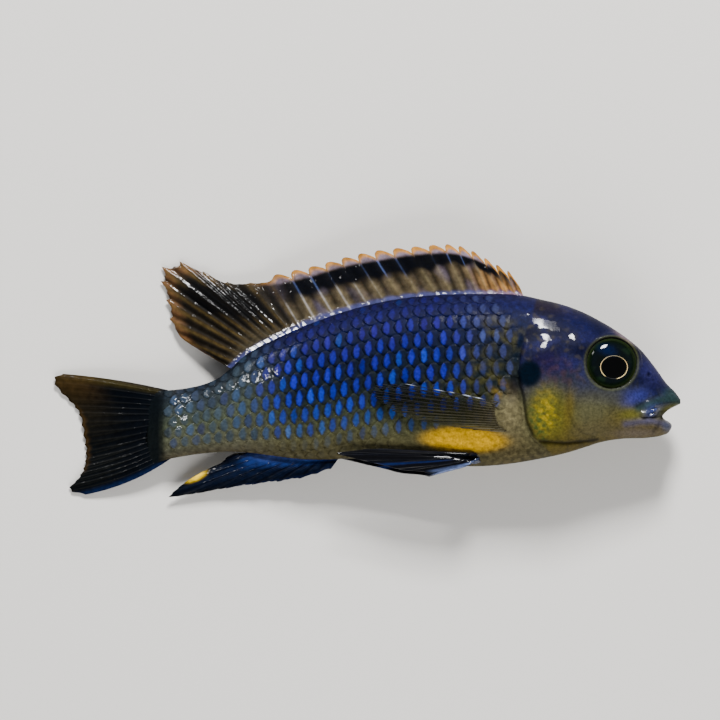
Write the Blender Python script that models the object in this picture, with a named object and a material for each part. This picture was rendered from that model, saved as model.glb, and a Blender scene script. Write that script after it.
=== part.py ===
"""A small male rock cichlid, life size, lying on its left side on a flat floor.

+X runs from tail to snout, +Y from belly to back, and +Z up, so that the right flank faces up.
The origin is at the middle of the model's length and height on the floor. All sizes are in
millimetres, and MM turns them into Blender's metres. The body is one lofted form that is parted
by thin cuts, and each fin is a membrane whose rays are ridges raised in its own surface.
"""

import math

import bmesh
import bpy
import numpy as np

MM = 0.001

# Sizes of the whole fish
GAP = 0.3
TAIL_ROOT_X = -22.1
SNOUT_X = 34.95
STALK_CUT_X = -15.9
FIN_AIR = 1.2  # room between the floor and the left flank, where the left pectoral fin lies

# Outline of the body from the tail root to the snout: (x, y)
BACK = [
    (-22.1, -2.28), (-20.0, -2.05), (-17.9, -1.56), (-16.4, -0.89), (-15.1, 0.17), (-13.7, 1.50),
    (-12.0, 2.56), (-9.6, 3.72), (-7.3, 4.75), (-4.0, 6.0), (-0.7, 7.0), (2.7, 7.75), (6.0, 8.2),
    (9.3, 8.4), (12.7, 8.46), (16.0, 8.42), (17.6, 8.25), (19.4, 7.85), (21.6, 7.33), (23.8, 6.55),
    (26.0, 5.45), (27.6, 4.5), (29.1, 3.45), (30.6, 2.15), (32.1, 0.3), (33.4, -1.5), (34.5, -2.65),
    (34.95, -3.3),
]
BELLY = [
    (-22.1, -9.95), (-20.7, -9.68), (-19.0, -9.4), (-16.8, -9.17), (-14.0, -9.12), (-10.7, -9.5),
    (-7.3, -9.9), (-4.0, -9.95), (-1.8, -9.85), (1.6, -9.9), (6.0, -10.25), (9.3, -10.6),
    (12.7, -10.7), (14.9, -10.55), (18.9, -9.95), (22.7, -9.1), (24.3, -8.6), (26.0, -8.05),
    (28.2, -7.67), (31.6, -7.5), (32.9, -7.25), (33.6, -6.85), (34.0, -6.0), (34.4, -4.6),
    (34.95, -3.8),
]
# Half the body's width: (x, z from the median plane)
HALF_WIDTH = [
    (-22.1, 1.35), (-18.0, 1.75), (-14.0, 2.35), (-10.0, 2.95), (-6.0, 3.4), (-2.0, 3.8), (2.0, 4.1),
    (6.0, 4.3), (10.0, 4.45), (14.0, 4.6), (17.0, 4.85), (19.5, 5.08), (21.5, 5.12), (23.5, 4.95),
    (25.5, 4.65), (27.5, 4.25), (29.5, 3.7), (31.0, 3.1), (32.5, 2.45), (33.7, 1.8), (34.5, 1.15),
    (34.95, 0.45),
]
# Height of the median plane over the floor: the tail sinks towards the floor
MEDIAN = [
    (-35.0, 0.4), (-22.1, 2.05), (-18.0, 2.3), (-14.0, 2.6), (-10.0, 2.9), (-6.0, 3.3), (-2.0, 3.72),
    (2.0, 4.15), (6.0, 4.5), (10.0, 4.75), (14.0, 4.88), (18.0, 4.92), (35.0, 4.92),
]
# Exponent of the body's section: 2 is an ellipse, more is squarer
SQUARENESS = [(-22.1, 2.0), (10.0, 2.1), (18.0, 2.25), (24.0, 2.55), (28.0, 2.7), (35.0, 2.3)]
# Stretch of the left flank that is pressed in by the pectoral fin under it
PRESSED_X = (0.0, 15.6)
PRESSED_RAMP = 1.6
SIDES_OF_BODY = 32
TRUNK_STEP = 1.6
HEAD_STEP = 0.75

# Head
GILL_EDGE = [  # (y, x) of the gill opening
    (-11.6, 22.6), (-9.0, 20.4), (-7.4, 18.6), (-5.6, 17.75), (-2.8, 17.4), (-0.3, 16.75), (1.6, 17.1),
    (4.5, 17.9), (9.5, 19.6),
]
COVER_FRONT_X = 22.5
COVER_WAIST_X = 19.8
COVER_TOP_Y = 2.3
COVER_FOOT_Y = -7.7
COVER_MEDIAN = 4.92  # height of the median plane at the gill covers
COVER_DEPTH = 2.6  # from the median plane to the inner face of a gill cover
JAW_LINE = [(23.6, -9.6), (24.6, -7.85), (26.0, -7.0), (28.2, -6.1), (30.4, -5.3), (31.4, -4.9)]
GAPE_ROOF = [(31.4, -4.85), (32.7, -4.3), (33.8, -3.98), (36.0, -3.8)]
GAPE_FLOOR = [(31.4, -4.95), (32.2, -5.25), (33.2, -5.4), (36.0, -5.45)]
UPPER_LIP = [(31.6, -4.35, 2.75), (32.7, -3.95, 2.2), (33.8, -3.55, 1.35), (34.42, -3.35, 0.0)]
LOWER_LIP = [(31.6, -5.35, 2.55), (32.4, -5.6, 2.0), (33.1, -5.75, 1.2), (33.5, -5.85, 0.0)]
LIP_RADIUS = 0.5
LIP_CORNER_RADIUS = 0.28
EYE_X = 27.2
EYE_Y = 0.78
EYE_RADIUS = 2.8
EYE_BULGE = 1.35  # half the eyeball's depth
EYE_DEPTH = 3.28  # from the median plane to the eyeball's middle
EYE_POWER = 2.6
EYE_LEAN = (0.2, 0.12)  # slope of the eye's face towards the snout and the back
ORBIT_RADIUS = 3.42  # the mound of skin that the eye sits in
ORBIT_BULGE = 1.2
NOSTRIL_X = 31.35
NOSTRIL_Y = -0.55
NOSTRIL_RADIUS = 0.36

# Fins: a ray is raised over the membrane on both faces
MEMBRANE = 0.5
RAY_ROOT = 0.74
RAY_TIP = 0.42
MEMBRANE_TIP = 0.34
FIN_ROWS = 5
FLOOR_AIR = 0.12  # no fin comes nearer to the floor

DORSAL_SPINES = 17
DORSAL_RAYS = 27
DORSAL_BASE = (17.4, -8.5)  # x of the first and the last spine
DORSAL_SOFT_BASE = (-9.5, -15.1)
DORSAL_TIPS = [
    (0, 16.65, 10.0), (1, 15.6, 10.85), (2, 14.3, 11.6), (3, 13.0, 12.3), (4, 11.6, 12.95), (6, 8.7, 13.55),
    (8, 4.9, 13.3),
    (10, 0.9, 12.7), (12, -2.8, 12.0), (14, -6.5, 10.95), (16, -10.5, 10.0), (17, -12.9, 9.7),
    (18, -15.5, 9.8), (19, -18.2, 11.0), (20, -20.8, 12.1), (21, -22.8, 11.5), (22, -22.9, 9.9),
    (23, -22.3, 7.8), (24, -21.9, 5.7), (25, -20.7, 3.7), (26, -18.1, 2.0),
]
DORSAL_DROP = [(0, 0.2), (8, 0.8), (16, 1.6), (20, 2.5), (26, 1.6)]
LAPPET = 0.5
CAUDAL_RAYS = 18
CAUDAL_TIPS = [
    (0, -33.8, -0.45), (1, -34.75, -0.8), (2, -34.75, -1.6), (3, -34.0, -2.55), (4, -33.1, -3.45),
    (6, -32.0, -5.0), (8, -31.55, -7.3), (10, -31.3, -9.3), (12, -31.55, -11.0), (14, -32.4, -12.4),
    (15, -33.1, -13.1), (16, -32.8, -13.6), (17, -31.3, -13.9),
]
CAUDAL_DROP = 1.75
CAUDAL_BOW = (-0.25, 0.6)
ANAL_RAYS = 11
ANAL_BASE = (-3.1, -13.3)
ANAL_TIPS = [
    (0, -3.9, -11.0), (2, -7.4, -12.1), (4, -12.7, -12.8), (5, -15.6, -13.2), (6, -18.8, -13.75),
    (7, -22.0, -14.15), (8, -20.2, -12.55), (9, -17.8, -11.2), (10, -15.6, -10.15),
]
ANAL_DROP = [(0, 0.3), (7, 2.0), (10, 0.8)]
PECTORAL_RAYS = 14
PECTORAL_BASE = [(0, 14.6, -3.55), (13, 14.8, -6.75)]
PECTORAL_TIPS = [
    (0, 4.7, -1.5), (1, 2.2, -1.55), (2, 0.8, -1.8), (3, 0.55, -2.35), (4, 0.9, -3.0),
    (6, 2.2, -4.1), (8, 4.0, -5.0), (10, 6.4, -5.7), (12, 10.1, -6.35), (13, 12.2, -6.65),
]
PECTORAL_LOBE = (16.1, -5.1)
LOBE_RADII = (1.1, 2.15, 0.9)
PELVIC_RAYS = 6
PELVIC_BASE = [(0, 12.5, -11.0), (5, 12.9, -10.25)]
PELVIC_TIPS = [
    (0, 7.3, -11.45), (1, 3.8, -11.1), (2, 0.0, -10.1), (3, -3.2, -9.25), (4, 0.7, -8.8), (5, 5.1, -9.05),
]
PELVIC_STANDOFF = 1.0
LEFT_PELVIC_DROP = 0.45  # the left one shows below the right one


def curve(points, at, column=1):
    """A smooth line through rows of (place, value, ...), read at one place or at many."""
    rows = np.array(points, float)
    x, y = rows[:, 0], rows[:, column]
    slope = np.gradient(y, x) if len(x) > 2 else np.full(len(x), (y[-1] - y[0]) / (x[-1] - x[0]))
    at = np.clip(at, x[0], x[-1])
    i = np.clip(np.searchsorted(x, at) - 1, 0, len(x) - 2)
    step = x[i + 1] - x[i]
    t = (at - x[i]) / step
    return (
        (2 * t**3 - 3 * t**2 + 1) * y[i]
        + (t**3 - 2 * t**2 + t) * step * slope[i]
        + (3 * t**2 - 2 * t**3) * y[i + 1]
        + (t**3 - t**2) * step * slope[i + 1]
    )


def section(x):
    """Centre height, half height, half width and exponent of the body's section at x."""
    top, foot = curve(BACK, x), curve(BELLY, x)
    return (top + foot) / 2, (top - foot) / 2, curve(HALF_WIDTH, x), curve(SQUARENESS, x)


def left_half_width(x):
    """Half width of the floor side, less where the pectoral fin lies under it."""
    width = curve(HALF_WIDTH, x)
    free = min(1.0, max(0.0, (PRESSED_X[0] - x) / PRESSED_RAMP, (x - PRESSED_X[1]) / PRESSED_RAMP))
    pressed = min(width, curve(MEDIAN, x) - FIN_AIR)
    return pressed + (width - pressed) * free * free * (3 - 2 * free)


def flank(x, y, side):
    """Distance of the flank from the median plane at (x, y); side is 1 for right, -1 for left."""
    middle, half, width, power = section(x)
    width = width if side > 0 else left_half_width(x)
    share = min(1.0, abs((y - middle) / half))
    return width * (1 - share**power) ** (1 / power)


def lobe(name, side):
    """A helper: the fleshy root of a pectoral fin."""
    x, y = PECTORAL_LOBE
    out = flank(x, y, side) + 0.15
    centre = (x, y, curve(MEDIAN, x) + side * out)
    return as_helper(ball(name, centre, LOBE_RADII), name)


def object_of(name, verts, faces, material=None):
    """An object whose mesh has these points, in millimetres."""
    mesh = bpy.data.meshes.new(name)
    mesh.from_pydata([[c * MM for c in v] for v in verts], [], faces)
    mesh.update()
    obj = bpy.data.objects.new(name, mesh)
    bpy.context.scene.collection.objects.link(obj)
    if material:
        mesh.materials.append(material)
        mesh.shade_smooth()
        mesh.set_sharp_from_angle(angle=math.radians(40))
    return obj


def finish(name, colour, roughness, metallic=0.0):
    """A material for one kind of surface."""
    material = bpy.data.materials.new(name)
    material.use_nodes = True
    shader = material.node_tree.nodes["Principled BSDF"]
    shader.inputs["Base Color"].default_value = (*colour, 1.0)
    shader.inputs["Roughness"].default_value = roughness
    shader.inputs["Metallic"].default_value = metallic
    return material


def whole_body(name):
    """The body and head as one loft of rings, from the tail root to the snout."""
    stations = list(np.arange(TAIL_ROOT_X, 16.0, TRUNK_STEP))
    stations += list(np.arange(16.4, 32.6, HEAD_STEP))
    stations += [32.9, 33.4, 33.8, 34.2, 34.55, 34.8, SNOUT_X]
    form = bmesh.new()
    rings = []
    for x in stations:
        middle, half, width, power = section(x)
        ring = []
        for i in range(SIDES_OF_BODY):
            angle = 2 * math.pi * i / SIDES_OF_BODY
            up, out = math.cos(angle), math.sin(angle)
            reach = width if out >= 0 else left_half_width(x)
            y = middle + half * math.copysign(abs(up) ** (2 / power), up)
            z = curve(MEDIAN, x) + reach * math.copysign(abs(out) ** (2 / power), out)
            ring.append(form.verts.new((x * MM, y * MM, z * MM)))
        rings.append(ring)
    for near, far in zip(rings, rings[1:]):
        for i in range(SIDES_OF_BODY):
            j = (i + 1) % SIDES_OF_BODY
            form.faces.new((near[i], near[j], far[j], far[i]))
    form.faces.new(list(reversed(rings[0])))
    form.faces.new(rings[-1])
    bmesh.ops.recalc_face_normals(form, faces=form.faces)
    mesh = bpy.data.meshes.new(name)
    form.to_mesh(mesh)
    form.free()
    obj = bpy.data.objects.new(name, mesh)
    bpy.context.scene.collection.objects.link(obj)
    return obj


def prism(name, outline, low, high):
    """A helper: an outline in the XY plane, extruded from one height to another."""
    form = bmesh.new()
    foot = form.faces.new([form.verts.new((x * MM, y * MM, low * MM)) for x, y in outline])
    made = bmesh.ops.extrude_face_region(form, geom=[foot])["geom"]
    lifted = [v for v in made if isinstance(v, bmesh.types.BMVert)]
    bmesh.ops.translate(form, verts=lifted, vec=(0, 0, (high - low) * MM))
    bmesh.ops.triangulate(form, faces=form.faces)
    bmesh.ops.recalc_face_normals(form, faces=form.faces)
    mesh = bpy.data.meshes.new(name)
    form.to_mesh(mesh)
    form.free()
    return as_helper(mesh, name)


def as_helper(mesh, name):
    """Links a mesh as an object that shapes others and isn't part of the model."""
    obj = bpy.data.objects.new(name, mesh)
    bpy.context.scene.collection.objects.link(obj)
    obj.hide_render = True
    obj.display_type = "WIRE"
    return obj


def ball(name, centre, radii):
    """A sphere with its own radius along each axis."""
    form = bmesh.new()
    bmesh.ops.create_uvsphere(form, u_segments=20, v_segments=10, radius=1.0)
    for v in form.verts:
        v.co = [(centre[i] + v.co[i] * radii[i]) * MM for i in range(3)]
    mesh = bpy.data.meshes.new(name)
    form.to_mesh(mesh)
    form.free()
    return mesh


def dome(name, side, radius, bulge):
    """A flattened ball, round from the side, that leans with the slope of the head at the eye."""
    form = bmesh.new()
    bmesh.ops.create_uvsphere(form, u_segments=32, v_segments=14, radius=1.0)
    for v in form.verts:
        spread = math.hypot(v.co.x, v.co.y)
        wide = spread ** (2 / EYE_POWER - 1) if spread > 1e-6 else 0.0
        x, y = v.co.x * wide * radius, v.co.y * wide * radius
        out = EYE_DEPTH + bulge * math.copysign(abs(v.co.z) ** (2 / EYE_POWER), v.co.z)
        out -= EYE_LEAN[0] * x + EYE_LEAN[1] * y
        place = (EYE_X + x, EYE_Y + y, curve(MEDIAN, EYE_X) + side * out)
        v.co = [c * MM for c in place]
    if side < 0:
        bmesh.ops.reverse_faces(form, faces=form.faces)
    mesh = bpy.data.meshes.new(name)
    form.to_mesh(mesh)
    form.free()
    return mesh


def boolean(obj, other, operation):
    """Adds one cut, join or intersection to an object."""
    modifier = obj.modifiers.new(f"{operation.lower()}_{other.name}", "BOOLEAN")
    modifier.operation = operation
    modifier.solver = "EXACT"
    modifier.object = other


def applied(obj, name, material):
    """The object with its modifiers applied, cleaned and kept to its largest closed surface."""
    graph = bpy.context.evaluated_depsgraph_get()
    mesh = bpy.data.meshes.new_from_object(obj.evaluated_get(graph))
    form = bmesh.new()
    form.from_mesh(mesh)
    bmesh.ops.triangulate(form, faces=form.faces)
    bmesh.ops.remove_doubles(form, verts=form.verts, dist=0.000001)
    largest = largest_piece(form)
    loose = [v for v in form.verts if v not in largest]
    bmesh.ops.delete(form, geom=loose, context="VERTS")
    form.to_mesh(mesh)
    form.free()
    mesh.name = name
    mesh.materials.clear()
    mesh.materials.append(material)
    mesh.shade_smooth()
    mesh.set_sharp_from_angle(angle=math.radians(40))
    bpy.data.objects.remove(obj)
    made = bpy.data.objects.new(name, mesh)
    bpy.context.scene.collection.objects.link(made)
    return made


def largest_piece(form):
    """The vertices of the connected surface that has the most of them."""
    left, best = set(form.verts), set()
    while left:
        piece, edge = set(), [left.pop()]
        while edge:
            v = edge.pop()
            piece.add(v)
            near = {e.other_vert(v) for e in v.link_edges} & left
            left -= near
            edge.extend(near)
        best = max(best, piece, key=len)
    return best


def along(line, step):
    """Points of an (x, y) line, read through a smooth curve about every step."""
    line = sorted(line)
    count = max(2, round((line[-1][0] - line[0][0]) / step) + 1)
    return [(x, float(curve(line, x))) for x in np.linspace(line[0][0], line[-1][0], count)]


def shifted(line, dx, dy):
    return [(x + dx, y + dy) for x, y in line]


def gill_edge(side_gap):
    """The back edge of the gill opening as points (x, y), moved along X by side_gap."""
    return [(x + side_gap, y) for y, x in along(GILL_EDGE, 0.9)]


def cover_outline(margin):
    """The outline of a gill cover, grown by margin: a rounded front, and the gill edge behind."""
    middle, half = (COVER_TOP_Y + COVER_FOOT_Y) / 2, (COVER_TOP_Y - COVER_FOOT_Y) / 2 + margin
    reach = COVER_FRONT_X - COVER_WAIST_X + margin
    front = []
    for i in range(15):
        angle = math.pi * (i / 14 - 0.5)
        front.append((COVER_WAIST_X + reach * math.cos(angle) ** 0.7, middle + half * math.sin(angle)))
    inner = half - 0.9
    back = [p for p in gill_edge(GAP / 2 - 2 * margin) if abs(p[1] - middle) < inner]
    return [*front, *reversed(back)]


def lip(name, line, radius_factor=1.0):
    """A round lip that runs from one corner of the mouth round the front to the other."""
    right = [(x, y, z) for x, y, z in line]
    left = [(x, y, -z) for x, y, z in reversed(line[:-1])]
    path = right + left
    shape = bpy.data.curves.new(name, "CURVE")
    shape.dimensions = "3D"
    shape.bevel_depth = LIP_RADIUS * MM
    shape.bevel_resolution = 2
    shape.use_fill_caps = True
    shape.resolution_u = 3
    spline = shape.splines.new("NURBS")
    spline.points.add(len(path) - 1)
    for point, (x, y, z) in zip(spline.points, path):
        height = curve(MEDIAN, x) + z
        point.co = (x * MM, y * MM, height * MM, 1.0)
        share = abs(z) / line[0][2]
        point.radius = radius_factor * (1 - share * (1 - LIP_CORNER_RADIUS / LIP_RADIUS))
    spline.use_endpoint_u = True
    spline.order_u = 3
    obj = bpy.data.objects.new(name, shape)
    bpy.context.scene.collection.objects.link(obj)
    graph = bpy.context.evaluated_depsgraph_get()
    mesh = bpy.data.meshes.new_from_object(obj.evaluated_get(graph))
    bpy.data.objects.remove(obj)
    form = bmesh.new()
    form.from_mesh(mesh)
    bmesh.ops.remove_doubles(form, verts=form.verts, dist=0.000005)
    bmesh.ops.recalc_face_normals(form, faces=form.faces)
    form.to_mesh(mesh)
    form.free()
    return as_helper(mesh, name)


def flesh(skin):
    """Trunk, tail stalk, head, lower jaw and gill covers, parted from one body by thin cuts."""
    far = 20.0
    low, high = -far, far
    half = GAP / 2
    floor_cut = prism("floor_cut", [(-40, -far), (40, -far), (40, far), (-40, far)], low, 0.0)
    edge_back, edge_front = gill_edge(-half), gill_edge(half)

    trunk = whole_body("trunk_blank")
    start = STALK_CUT_X + half
    outline = [(start, -far), (edge_back[0][0], -far), *edge_back, (edge_back[-1][0], far), (start, far)]
    boolean(trunk, prism("trunk_room", outline, low, high), "INTERSECT")
    for side, word in ((1, "right"), (-1, "left")):
        boolean(trunk, lobe(f"lobe_{word}", side), "UNION")
    boolean(trunk, floor_cut, "DIFFERENCE")
    applied(trunk, "trunk", skin)

    stalk = whole_body("stalk_blank")
    end = STALK_CUT_X - half
    boolean(stalk, prism("stalk_room", [(-40, -far), (end, -far), (end, far), (-40, far)], low, high), "INTERSECT")
    applied(stalk, "tail_stalk", skin)

    jaw_line = along(JAW_LINE, 0.8)
    roof, ground = along(GAPE_ROOF, 0.6), along(GAPE_FLOOR, 0.6)
    upper_edge = shifted(jaw_line, 0, half) + roof
    lower_edge = shifted(jaw_line, 0, -half) + ground
    head = whole_body("head_blank")
    outline = [
        (edge_front[-1][0], far), *reversed(edge_front), (edge_front[0][0], -far),
        (upper_edge[0][0] - half, -far), (upper_edge[0][0] - half, upper_edge[0][1]),
        *upper_edge, (40.0, upper_edge[-1][1]), (40.0, far),
    ]
    boolean(head, prism("head_room", outline, low, high), "INTERSECT")
    boolean(head, lip("upper_lip", UPPER_LIP), "UNION")
    for side, word in ((1, "right"), (-1, "left")):
        reach = sorted([COVER_MEDIAN + side * (COVER_DEPTH - GAP), COVER_MEDIAN + side * far])
        boolean(head, prism(f"cover_room_{word}", cover_outline(GAP), *reach), "DIFFERENCE")
        mound = dome(f"mound_{word}", side, ORBIT_RADIUS, ORBIT_BULGE)
        boolean(head, as_helper(mound, f"mound_{word}"), "UNION")
        socket = dome(f"socket_{word}", side, EYE_RADIUS + GAP, EYE_BULGE + GAP)
        boolean(head, as_helper(socket, f"socket_{word}"), "DIFFERENCE")
        pit = ball(f"nostril_{word}", nostril_centre(side), [NOSTRIL_RADIUS] * 3)
        boolean(head, as_helper(pit, f"nostril_{word}"), "DIFFERENCE")
    boolean(head, floor_cut, "DIFFERENCE")
    applied(head, "head", skin)

    jaw = whole_body("jaw_blank")
    outline = [(lower_edge[0][0] + half, -far), *lower_edge, (40.0, lower_edge[-1][1]), (40.0, -far)]
    boolean(jaw, prism("jaw_room", outline, low, high), "INTERSECT")
    boolean(jaw, lip("lower_lip", LOWER_LIP, 0.9), "UNION")
    applied(jaw, "lower_jaw", skin)

    for side, word in ((1, "right"), (-1, "left")):
        cover = whole_body(f"cover_blank_{word}")
        reach = sorted([COVER_MEDIAN + side * COVER_DEPTH, COVER_MEDIAN + side * far])
        boolean(cover, prism(f"cover_form_{word}", cover_outline(0.0), *reach), "INTERSECT")
        boolean(cover, floor_cut, "DIFFERENCE")
        applied(cover, f"gill_cover_{word}", skin)


def nostril_centre(side):
    out = flank(NOSTRIL_X, NOSTRIL_Y, side)
    return NOSTRIL_X, NOSTRIL_Y, curve(MEDIAN, NOSTRIL_X) + side * out


def eyes(material):
    for side, word in ((1, "right"), (-1, "left")):
        mesh = dome(f"eye_{word}", side, EYE_RADIUS, EYE_BULGE)
        mesh.materials.append(material)
        mesh.shade_smooth()
        bpy.context.scene.collection.objects.link(bpy.data.objects.new(f"eye_{word}", mesh))


def fin(name, material, rays, base, tip, height, edge, bow=None, between=3):
    """A closed fin of ridged rays.

    base(k) and tip(k) give (x, y) for a ray number, height(x, y, k, t) the level of the fin's
    middle surface, edge(k, s) how far the membrane's edge stands past the line of the tips at
    share s between two rays, bow(k) how far a ray is bowed sideways at its middle, and between
    how many columns stand between two rays.
    """
    columns = [k + i / (between + 1) for k in range(rays - 1) for i in range(between + 1)]
    columns.append(float(rays - 1))
    upper, lower = [], []
    for k in columns:
        share = k - math.floor(k)
        ridge = share < 1e-9
        root, end = np.array(base(k)), np.array(tip(k))
        way = (end - root) / np.linalg.norm(end - root)
        end = end + way * edge(k, share)
        for row in range(FIN_ROWS + 1):
            t = row / FIN_ROWS
            aside = 4 * t * (1 - t) * bow(k) if bow else 0.0
            x, y = root + (end - root) * t + aside * np.array((-way[1], way[0]))
            thick = RAY_ROOT + (RAY_TIP - RAY_ROOT) * t if ridge else MEMBRANE + (MEMBRANE_TIP - MEMBRANE) * t
            middle = max(height(x, y, k, t), FLOOR_AIR + thick / 2)
            upper.append((x, y, middle + thick / 2))
            lower.append((x, y, middle - thick / 2))
    count, tall = len(columns), FIN_ROWS + 1
    back = count * tall
    faces = []
    for i in range(count - 1):
        for j in range(FIN_ROWS):
            a, b = i * tall + j, (i + 1) * tall + j
            faces += [(a, b, b + 1), (a, b + 1, a + 1)]
            faces += [(back + a, back + b + 1, back + b), (back + a, back + a + 1, back + b + 1)]
    rim = [i * tall for i in range(count)] + [(count - 1) * tall + j for j in range(1, tall)]
    rim += [i * tall + FIN_ROWS for i in range(count - 2, -1, -1)] + list(range(FIN_ROWS - 1, 0, -1))
    for a, b in zip(rim, rim[1:] + rim[:1]):
        faces += [(b, a, back + a), (b, back + a, back + b)]
    obj = object_of(name, upper + lower, faces, material)
    form = bmesh.new()
    form.from_mesh(obj.data)
    bmesh.ops.recalc_face_normals(form, faces=form.faces)
    form.to_mesh(obj.data)
    form.free()
    return obj


def by_ray(rows, k):
    return float(curve(rows, k)), float(curve(rows, k, 2))


def dorsal_fin(material):
    last_spine = DORSAL_SPINES - 1

    def base(k):
        if k <= last_spine:
            x = DORSAL_BASE[0] + (DORSAL_BASE[1] - DORSAL_BASE[0]) * k / last_spine
        else:
            share = (k - last_spine) / (DORSAL_RAYS - 1 - last_spine)
            x = DORSAL_BASE[1] + (DORSAL_SOFT_BASE[1] - DORSAL_BASE[1]) * share
        return x, float(curve(BACK, x)) + GAP

    def height(x, y, k, t):
        return curve(MEDIAN, base(k)[0]) - curve(DORSAL_DROP, k) * t**1.4

    def edge(k, share):
        bulge = math.sin(math.pi * share)
        return LAPPET * bulge if k < last_spine else -0.35 * bulge

    fin("dorsal_fin", material, DORSAL_RAYS, base, lambda k: by_ray(DORSAL_TIPS, k), height, edge)


def caudal_fin(material):
    top, foot = float(curve(BACK, TAIL_ROOT_X)), float(curve(BELLY, TAIL_ROOT_X))

    def base(k):
        return TAIL_ROOT_X - GAP, top + (foot - top) * k / (CAUDAL_RAYS - 1)

    def height(x, y, k, t):
        return curve(MEDIAN, TAIL_ROOT_X) - CAUDAL_DROP * t

    def edge(k, share):
        return -0.25 * math.sin(math.pi * share)

    def bow(k):
        share = k / (CAUDAL_RAYS - 1)
        return CAUDAL_BOW[0] * (1 - share) ** 2 + CAUDAL_BOW[1] * share**2

    fin("caudal_fin", material, CAUDAL_RAYS, base, lambda k: by_ray(CAUDAL_TIPS, k), height, edge, bow)


def anal_fin(material):
    def base(k):
        x = ANAL_BASE[0] + (ANAL_BASE[1] - ANAL_BASE[0]) * k / (ANAL_RAYS - 1)
        return x, float(curve(BELLY, x)) - GAP

    def height(x, y, k, t):
        return curve(MEDIAN, base(k)[0]) - curve(ANAL_DROP, k) * t**1.3

    def edge(k, share):
        return -0.3 * math.sin(math.pi * share)

    fin("anal_fin", material, ANAL_RAYS, base, lambda k: by_ray(ANAL_TIPS, k), height, edge)


def pectoral_fin(material, side, word):
    """Lies against the flank, a gap away from it."""

    def height(x, y, k, t):
        out = flank(x, y, side) + GAP + RAY_ROOT / 2
        return curve(MEDIAN, x) + side * out

    def edge(k, share):
        return -0.2 * math.sin(math.pi * share)

    fin(
        f"pectoral_fin_{word}", material, PECTORAL_RAYS, lambda k: by_ray(PECTORAL_BASE, k),
        lambda k: by_ray(PECTORAL_TIPS, k), height, edge,
    )


def pelvic_fin(material, side, word):
    """Folded back along the belly, beside the median plane."""

    def height(x, y, k, t):
        out = math.hypot(flank(x, y, side), PELVIC_STANDOFF) + GAP + MEMBRANE / 2
        return curve(MEDIAN, x) + side * out

    def edge(k, share):
        return -0.2 * math.sin(math.pi * share)

    def lowered(rows, k):
        x, y = by_ray(rows, k)
        return x, y - (LEFT_PELVIC_DROP if side < 0 else 0.0)

    fin(
        f"pelvic_fin_{word}", material, PELVIC_RAYS, lambda k: lowered(PELVIC_BASE, k),
        lambda k: lowered(PELVIC_TIPS, k), height, edge,
    )


def build():
    for old in list(bpy.data.objects):
        bpy.data.objects.remove(old)
    skin = finish("skin", (0.03, 0.06, 0.22), 0.3)
    eye = finish("eye", (0.01, 0.012, 0.014), 0.05)
    ochre_fin = finish("ochre_fin", (0.16, 0.10, 0.03), 0.35)
    dark_fin = finish("dark_fin", (0.012, 0.014, 0.025), 0.3)
    clear_fin = finish("clear_fin", (0.10, 0.09, 0.05), 0.3)
    flesh(skin)
    eyes(eye)
    dorsal_fin(ochre_fin)
    caudal_fin(dark_fin)
    anal_fin(dark_fin)
    for side, word in ((1, "right"), (-1, "left")):
        pectoral_fin(clear_fin, side, word)
        pelvic_fin(dark_fin, side, word)


build()
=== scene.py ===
"""The looks of a small male rock cichlid, life size, that lies wet on its left side.

+X runs from tail to snout, +Y from belly to back, and +Z up out of the right flank. Sizes are
in millimetres until MM turns them into metres. The skin is one form from snout to tail, the
scales lie on it in rows, and the fins are thin sheets with rays raised in them.
"""

import math

import bpy
import numpy as np
from mathutils.kdtree import KDTree
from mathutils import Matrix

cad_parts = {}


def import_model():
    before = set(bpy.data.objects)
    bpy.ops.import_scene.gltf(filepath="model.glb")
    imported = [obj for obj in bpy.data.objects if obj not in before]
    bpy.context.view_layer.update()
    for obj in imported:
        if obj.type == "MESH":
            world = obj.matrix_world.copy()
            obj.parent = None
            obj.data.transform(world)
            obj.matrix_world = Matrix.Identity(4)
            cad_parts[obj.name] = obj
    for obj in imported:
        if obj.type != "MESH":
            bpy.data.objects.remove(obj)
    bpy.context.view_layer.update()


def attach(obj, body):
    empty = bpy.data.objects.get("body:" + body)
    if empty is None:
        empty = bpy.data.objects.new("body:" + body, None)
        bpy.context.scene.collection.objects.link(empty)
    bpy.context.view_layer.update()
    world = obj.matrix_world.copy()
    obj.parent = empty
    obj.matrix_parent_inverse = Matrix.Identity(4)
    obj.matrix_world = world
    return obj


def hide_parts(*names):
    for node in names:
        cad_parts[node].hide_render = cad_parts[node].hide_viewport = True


MM = 0.001
RIGHT, LEFT = 1, -1
SIDES = ((RIGHT, "right"), (LEFT, "left"))

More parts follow.
